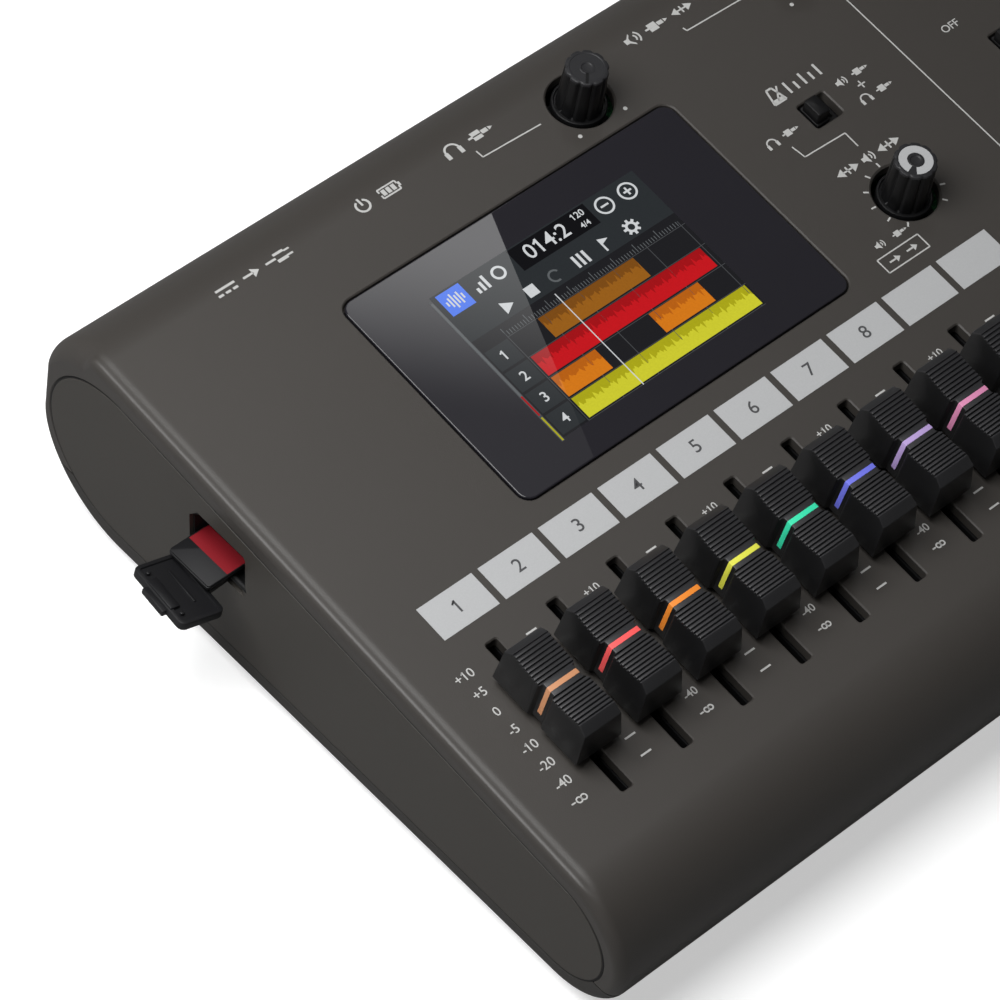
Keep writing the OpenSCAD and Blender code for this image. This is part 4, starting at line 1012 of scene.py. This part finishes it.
for k in range(8):
    a = math.tau * k / 8
    lit("sign", barPoints(polar(0.7, a, wheel), polar(1.75, a, wheel), 0.55), 2)
lit("sign", arcPoints(wheel, 0.95, 0.5, 0, 359.9, 24), 3)
for name, pieces in picture.items():
    seat(put(joinAll(pieces), panelFrame), "recorder", "lcd_dark", pixels[name]).name = "picture" + name.capitalize()
print("display picture done")


def atRear(piece, u):
    return put(piece, caseFrame @ rearPlace(u))


def seatJacks(pieces, kind, name):
    seat(smooth(joinAll(pieces), 34, False), "recorder", "jack_black", finishes[kind]).name = name


jack = {"bore": 3.15, "sleeve": 3.31, "collar": 4.75, "deep": -6, "rimIn": 9.7, "rimOut": 11.4}
seatJacks([atRear(turnedRing("lineCollar", jack["sleeve"] + 0.01, jack["collar"], -0.4, 1.5), u)
           for u in rear["lines"]], "jack", "lineCollars")
seatJacks([atRear(turnedRing("lineSleeve", jack["bore"], jack["sleeve"], jack["deep"], out, 0.06), u)
           for us, out in ((rear["lines"], 0.9), (rear["combos"], 0.6)) for u in us], "metal", "jackSleeves")
faces = []
for u in rear["combos"]:
    faces.append(atRear(turnedRing("comboRim", jack["rimIn"], jack["rimOut"], -0.2, 1.7, 0.4, 72), u))
    faces.append(atRear(softEdges(addBox("comboLatch", (4.4, 2.6, 1.5), (0, -8.6, 1.0)), 0.25), u))
seatJacks(faces, "jack", "comboRims")
button = lathe("powerBody", [(rear["powerR"], -8.4), (rear["powerR"], 0.85), (2.93, 1.02), (2.75, 1.14), (2.45, 1.18),
                             (1.2, 1.1), (0.4, 1.06)])
button = atRear(joinAll([button, lathe("powerFlange", [(4.4, -6.4), (4.4, -3.8)])]), rear["power"])
seat(smooth(button, 34, False), "power_key", "button_grey", finishes["key"], "power_button").name = "powerKey"
sign = put(joinAll(drawSign("power", 2.0, 0, 0)), moved(0, 0, 1.09) @ Matrix.Rotation(math.pi, 4, "Z"))
seat(atRear(sign, rear["power"]), "power_key", "button_grey", finishes["ink"]).name = "powerKeySign"

footSteps = [(6.95, 0.79), (6.95, -1.35), (6.8, -1.75), (6.4, -1.97), (6.0, -2.0), (5.2, -2.0), (4.9, -1.8), (4.4, -1.72)]
feet = [put(lathe("foot", footSteps), caseFrame @ moved(*at)) for at in footSpots]
seat(smooth(joinAll(feet), 34, False), "recorder", "foot_rubber", finishes["rubber"], "feet").name = "rubberFeet"
lid = loft("batteryLid", [flat(rectPoints(battery["w"], battery["l"], 1.2, g), z)
                          for g, z in ((0, 2), (0, 0.3), (-0.3, 0))])
carve(lid, joinAll([put(acrossZ("lidGroove", rectPoints(14, 1, 0.45), (-1, 0.5)), moved(0, 2 * k - 6.5))
                    for k in range(-2, 3)]))
lid = smooth(put(lid, caseFrame @ moved(0, battery["y"])), 34, False)
seat(lid, "battery_cover", "base_grey", finishes["base"], "battery_door").name = "batteryLid"
print("rear and bottom done")

carriedOver = {"lcd": ["lcd_module"], "board": ["main_board", "jack_board"], "lamp": ["leds"], "cell": ["batteries"],
               "track": ["fader_tracks", "pots", "switch_bodies"], "jack": ["tact_switches", "combo_jacks", "line_jacks"],
               "metal": ["usb_port", "card_socket", "screws", "battery_contacts"]}
for kind, names in carriedOver.items():
    for name in names:
        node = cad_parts[name]
        node.data.materials.clear()
        node.data.materials.append(finishes[kind])
print("carried-over parts painted:", sum(map(len, carriedOver.values())))

view = {"at": (-0.431106, -0.356079, 0.666370), "turn": (0.8860178, 0.3005262, -0.1341417, -0.3265921), "lens": 165.102}
leaveEdit()
camera = bpy.data.objects.new("viewCamera", bpy.data.cameras.new("viewCamera"))
bpy.context.scene.collection.objects.link(camera)
camera.location = view["at"]
camera.rotation_mode = "QUATERNION"
camera.rotation_quaternion = Quaternion(view["turn"])
camera.data.lens, camera.data.sensor_width = view["lens"], 36
camera.data.clip_start, camera.data.clip_end = 0.02, 50
bpy.context.scene.camera = camera

studio = {"horizon": 1.0, "offside": 0.4, "zenith": 0.15, "keyPower": 2.7, "keyAt": (-0.24, 0.06, 0.45), "keySize": 0.4,
          "leftPower": 0.5, "leftAt": (-1.1, 0.5, 0.2), "leftSize": 0.7, "floor": 0.7, "floorGlow": 0.42, "floorSize": 40,
          "boxEdge": ((0.416, 0.327, 0.888), (0.395, 0.251, 0.899)), "boxReach": (-0.35, 0.05, 0.03),
          "boxFade": (0.889, 0.901), "boxNear": 3.6, "boxFar": 0.33, "ground": 0.28, "card": 2.0}


def softLamp(name, at, aim, size, power):
    lamp = bpy.data.objects.new(name, bpy.data.lights.new(name, "AREA"))
    bpy.context.scene.collection.objects.link(lamp)
    lamp.data.shape, lamp.data.size, lamp.data.energy = "DISK", size, power
    lamp.location = at
    lamp.visible_camera = False
    lamp.rotation_euler = (Vector(aim) - Vector(at)).to_track_quat("-Z", "Y").to_euler()


def paper(name, finishName, size, height, shade, **fixed):
    choose()
    bpy.ops.mesh.primitive_plane_add(size=size, location=(0, 0, height))
    sheet = named(name)
    bpy.ops.object.transform_apply(location=True)
    finish = Finish(finishName, Roughness=0.9, Specular_IOR_Level=0.0, **fixed)
    finish.feed(Base_Color=finish.blend(finish.noise(3.0), grey(shade), grey(shade + 0.02)))
    sheet.data.materials.append(finish.material)
    return sheet


softLamp("keyLamp", studio["keyAt"], (0, 0, 0), studio["keySize"], studio["keyPower"])
softLamp("leftLamp", studio["leftAt"], (0, 0, 0.03), studio["leftSize"], studio["leftPower"])
# A soft box whose edge shows as a slanting line across the glass
far, near = [Vector(point) for point in studio["boxEdge"]]
run = far - near
corners = [near - run * 2.2, far + run * 1.5]
corners += [corners[1] + Vector(studio["boxReach"]), corners[0] + Vector(studio["boxReach"])]
softBox = addOutline("softBox", corners)
boxFinish = Finish("softBoxGlow", Base_Color=grey(0.0), Specular_IOR_Level=0.0, Emission_Strength=1.0)
glow = boxFinish.rise(boxFinish.axis(boxFinish.spot(), "Z"), (*studio["boxFade"], 1.0, 0.0), "SMOOTHSTEP")
boxFinish.feed(Emission_Color=boxFinish.blend(glow, grey(studio["boxFar"]), grey(studio["boxNear"])))
softBox.data.materials.append(boxFinish.material)
softBox.visible_camera = softBox.visible_shadow = False
floor = paper("studioFloor", "floorPaper", studio["floorSize"], 0, studio["floor"],
              Emission_Color=grey(1.0), Emission_Strength=studio["floorGlow"])
# A card round the object, out of the picture, that keeps its sides dark
ground = paper("greyCard", "groundPaper", studio["card"], 0.0002, studio["ground"])
ground.visible_camera = ground.visible_shadow = False

world = bpy.data.worlds.new("studioWorld")
bpy.context.scene.world = world
world.use_nodes = True
sky = Nodes(world.node_tree)
light = world.node_tree.nodes["Background"]
light.inputs["Color"].default_value = grey(1.0)
facing = sky.make("ShaderNodeTexCoord", {}, {}, "Generated")
upward = sky.make("ShaderNodeMath", {"operation": "ABSOLUTE"}, [sky.axis(facing, "Z")])
# Dimmer overhead, and dimmer away from the left
level = sky.rise(upward, (0.02, 0.2, studio["horizon"], studio["zenith"]))
level = level * sky.rise(sky.axis(facing, "X"), (-0.2, -0.95, studio["offside"], 1.0))
sky.tree.links.new(level.socket, light.inputs["Strength"])
bpy.context.scene.view_settings.view_transform = "Standard"
print("stage and camera set")
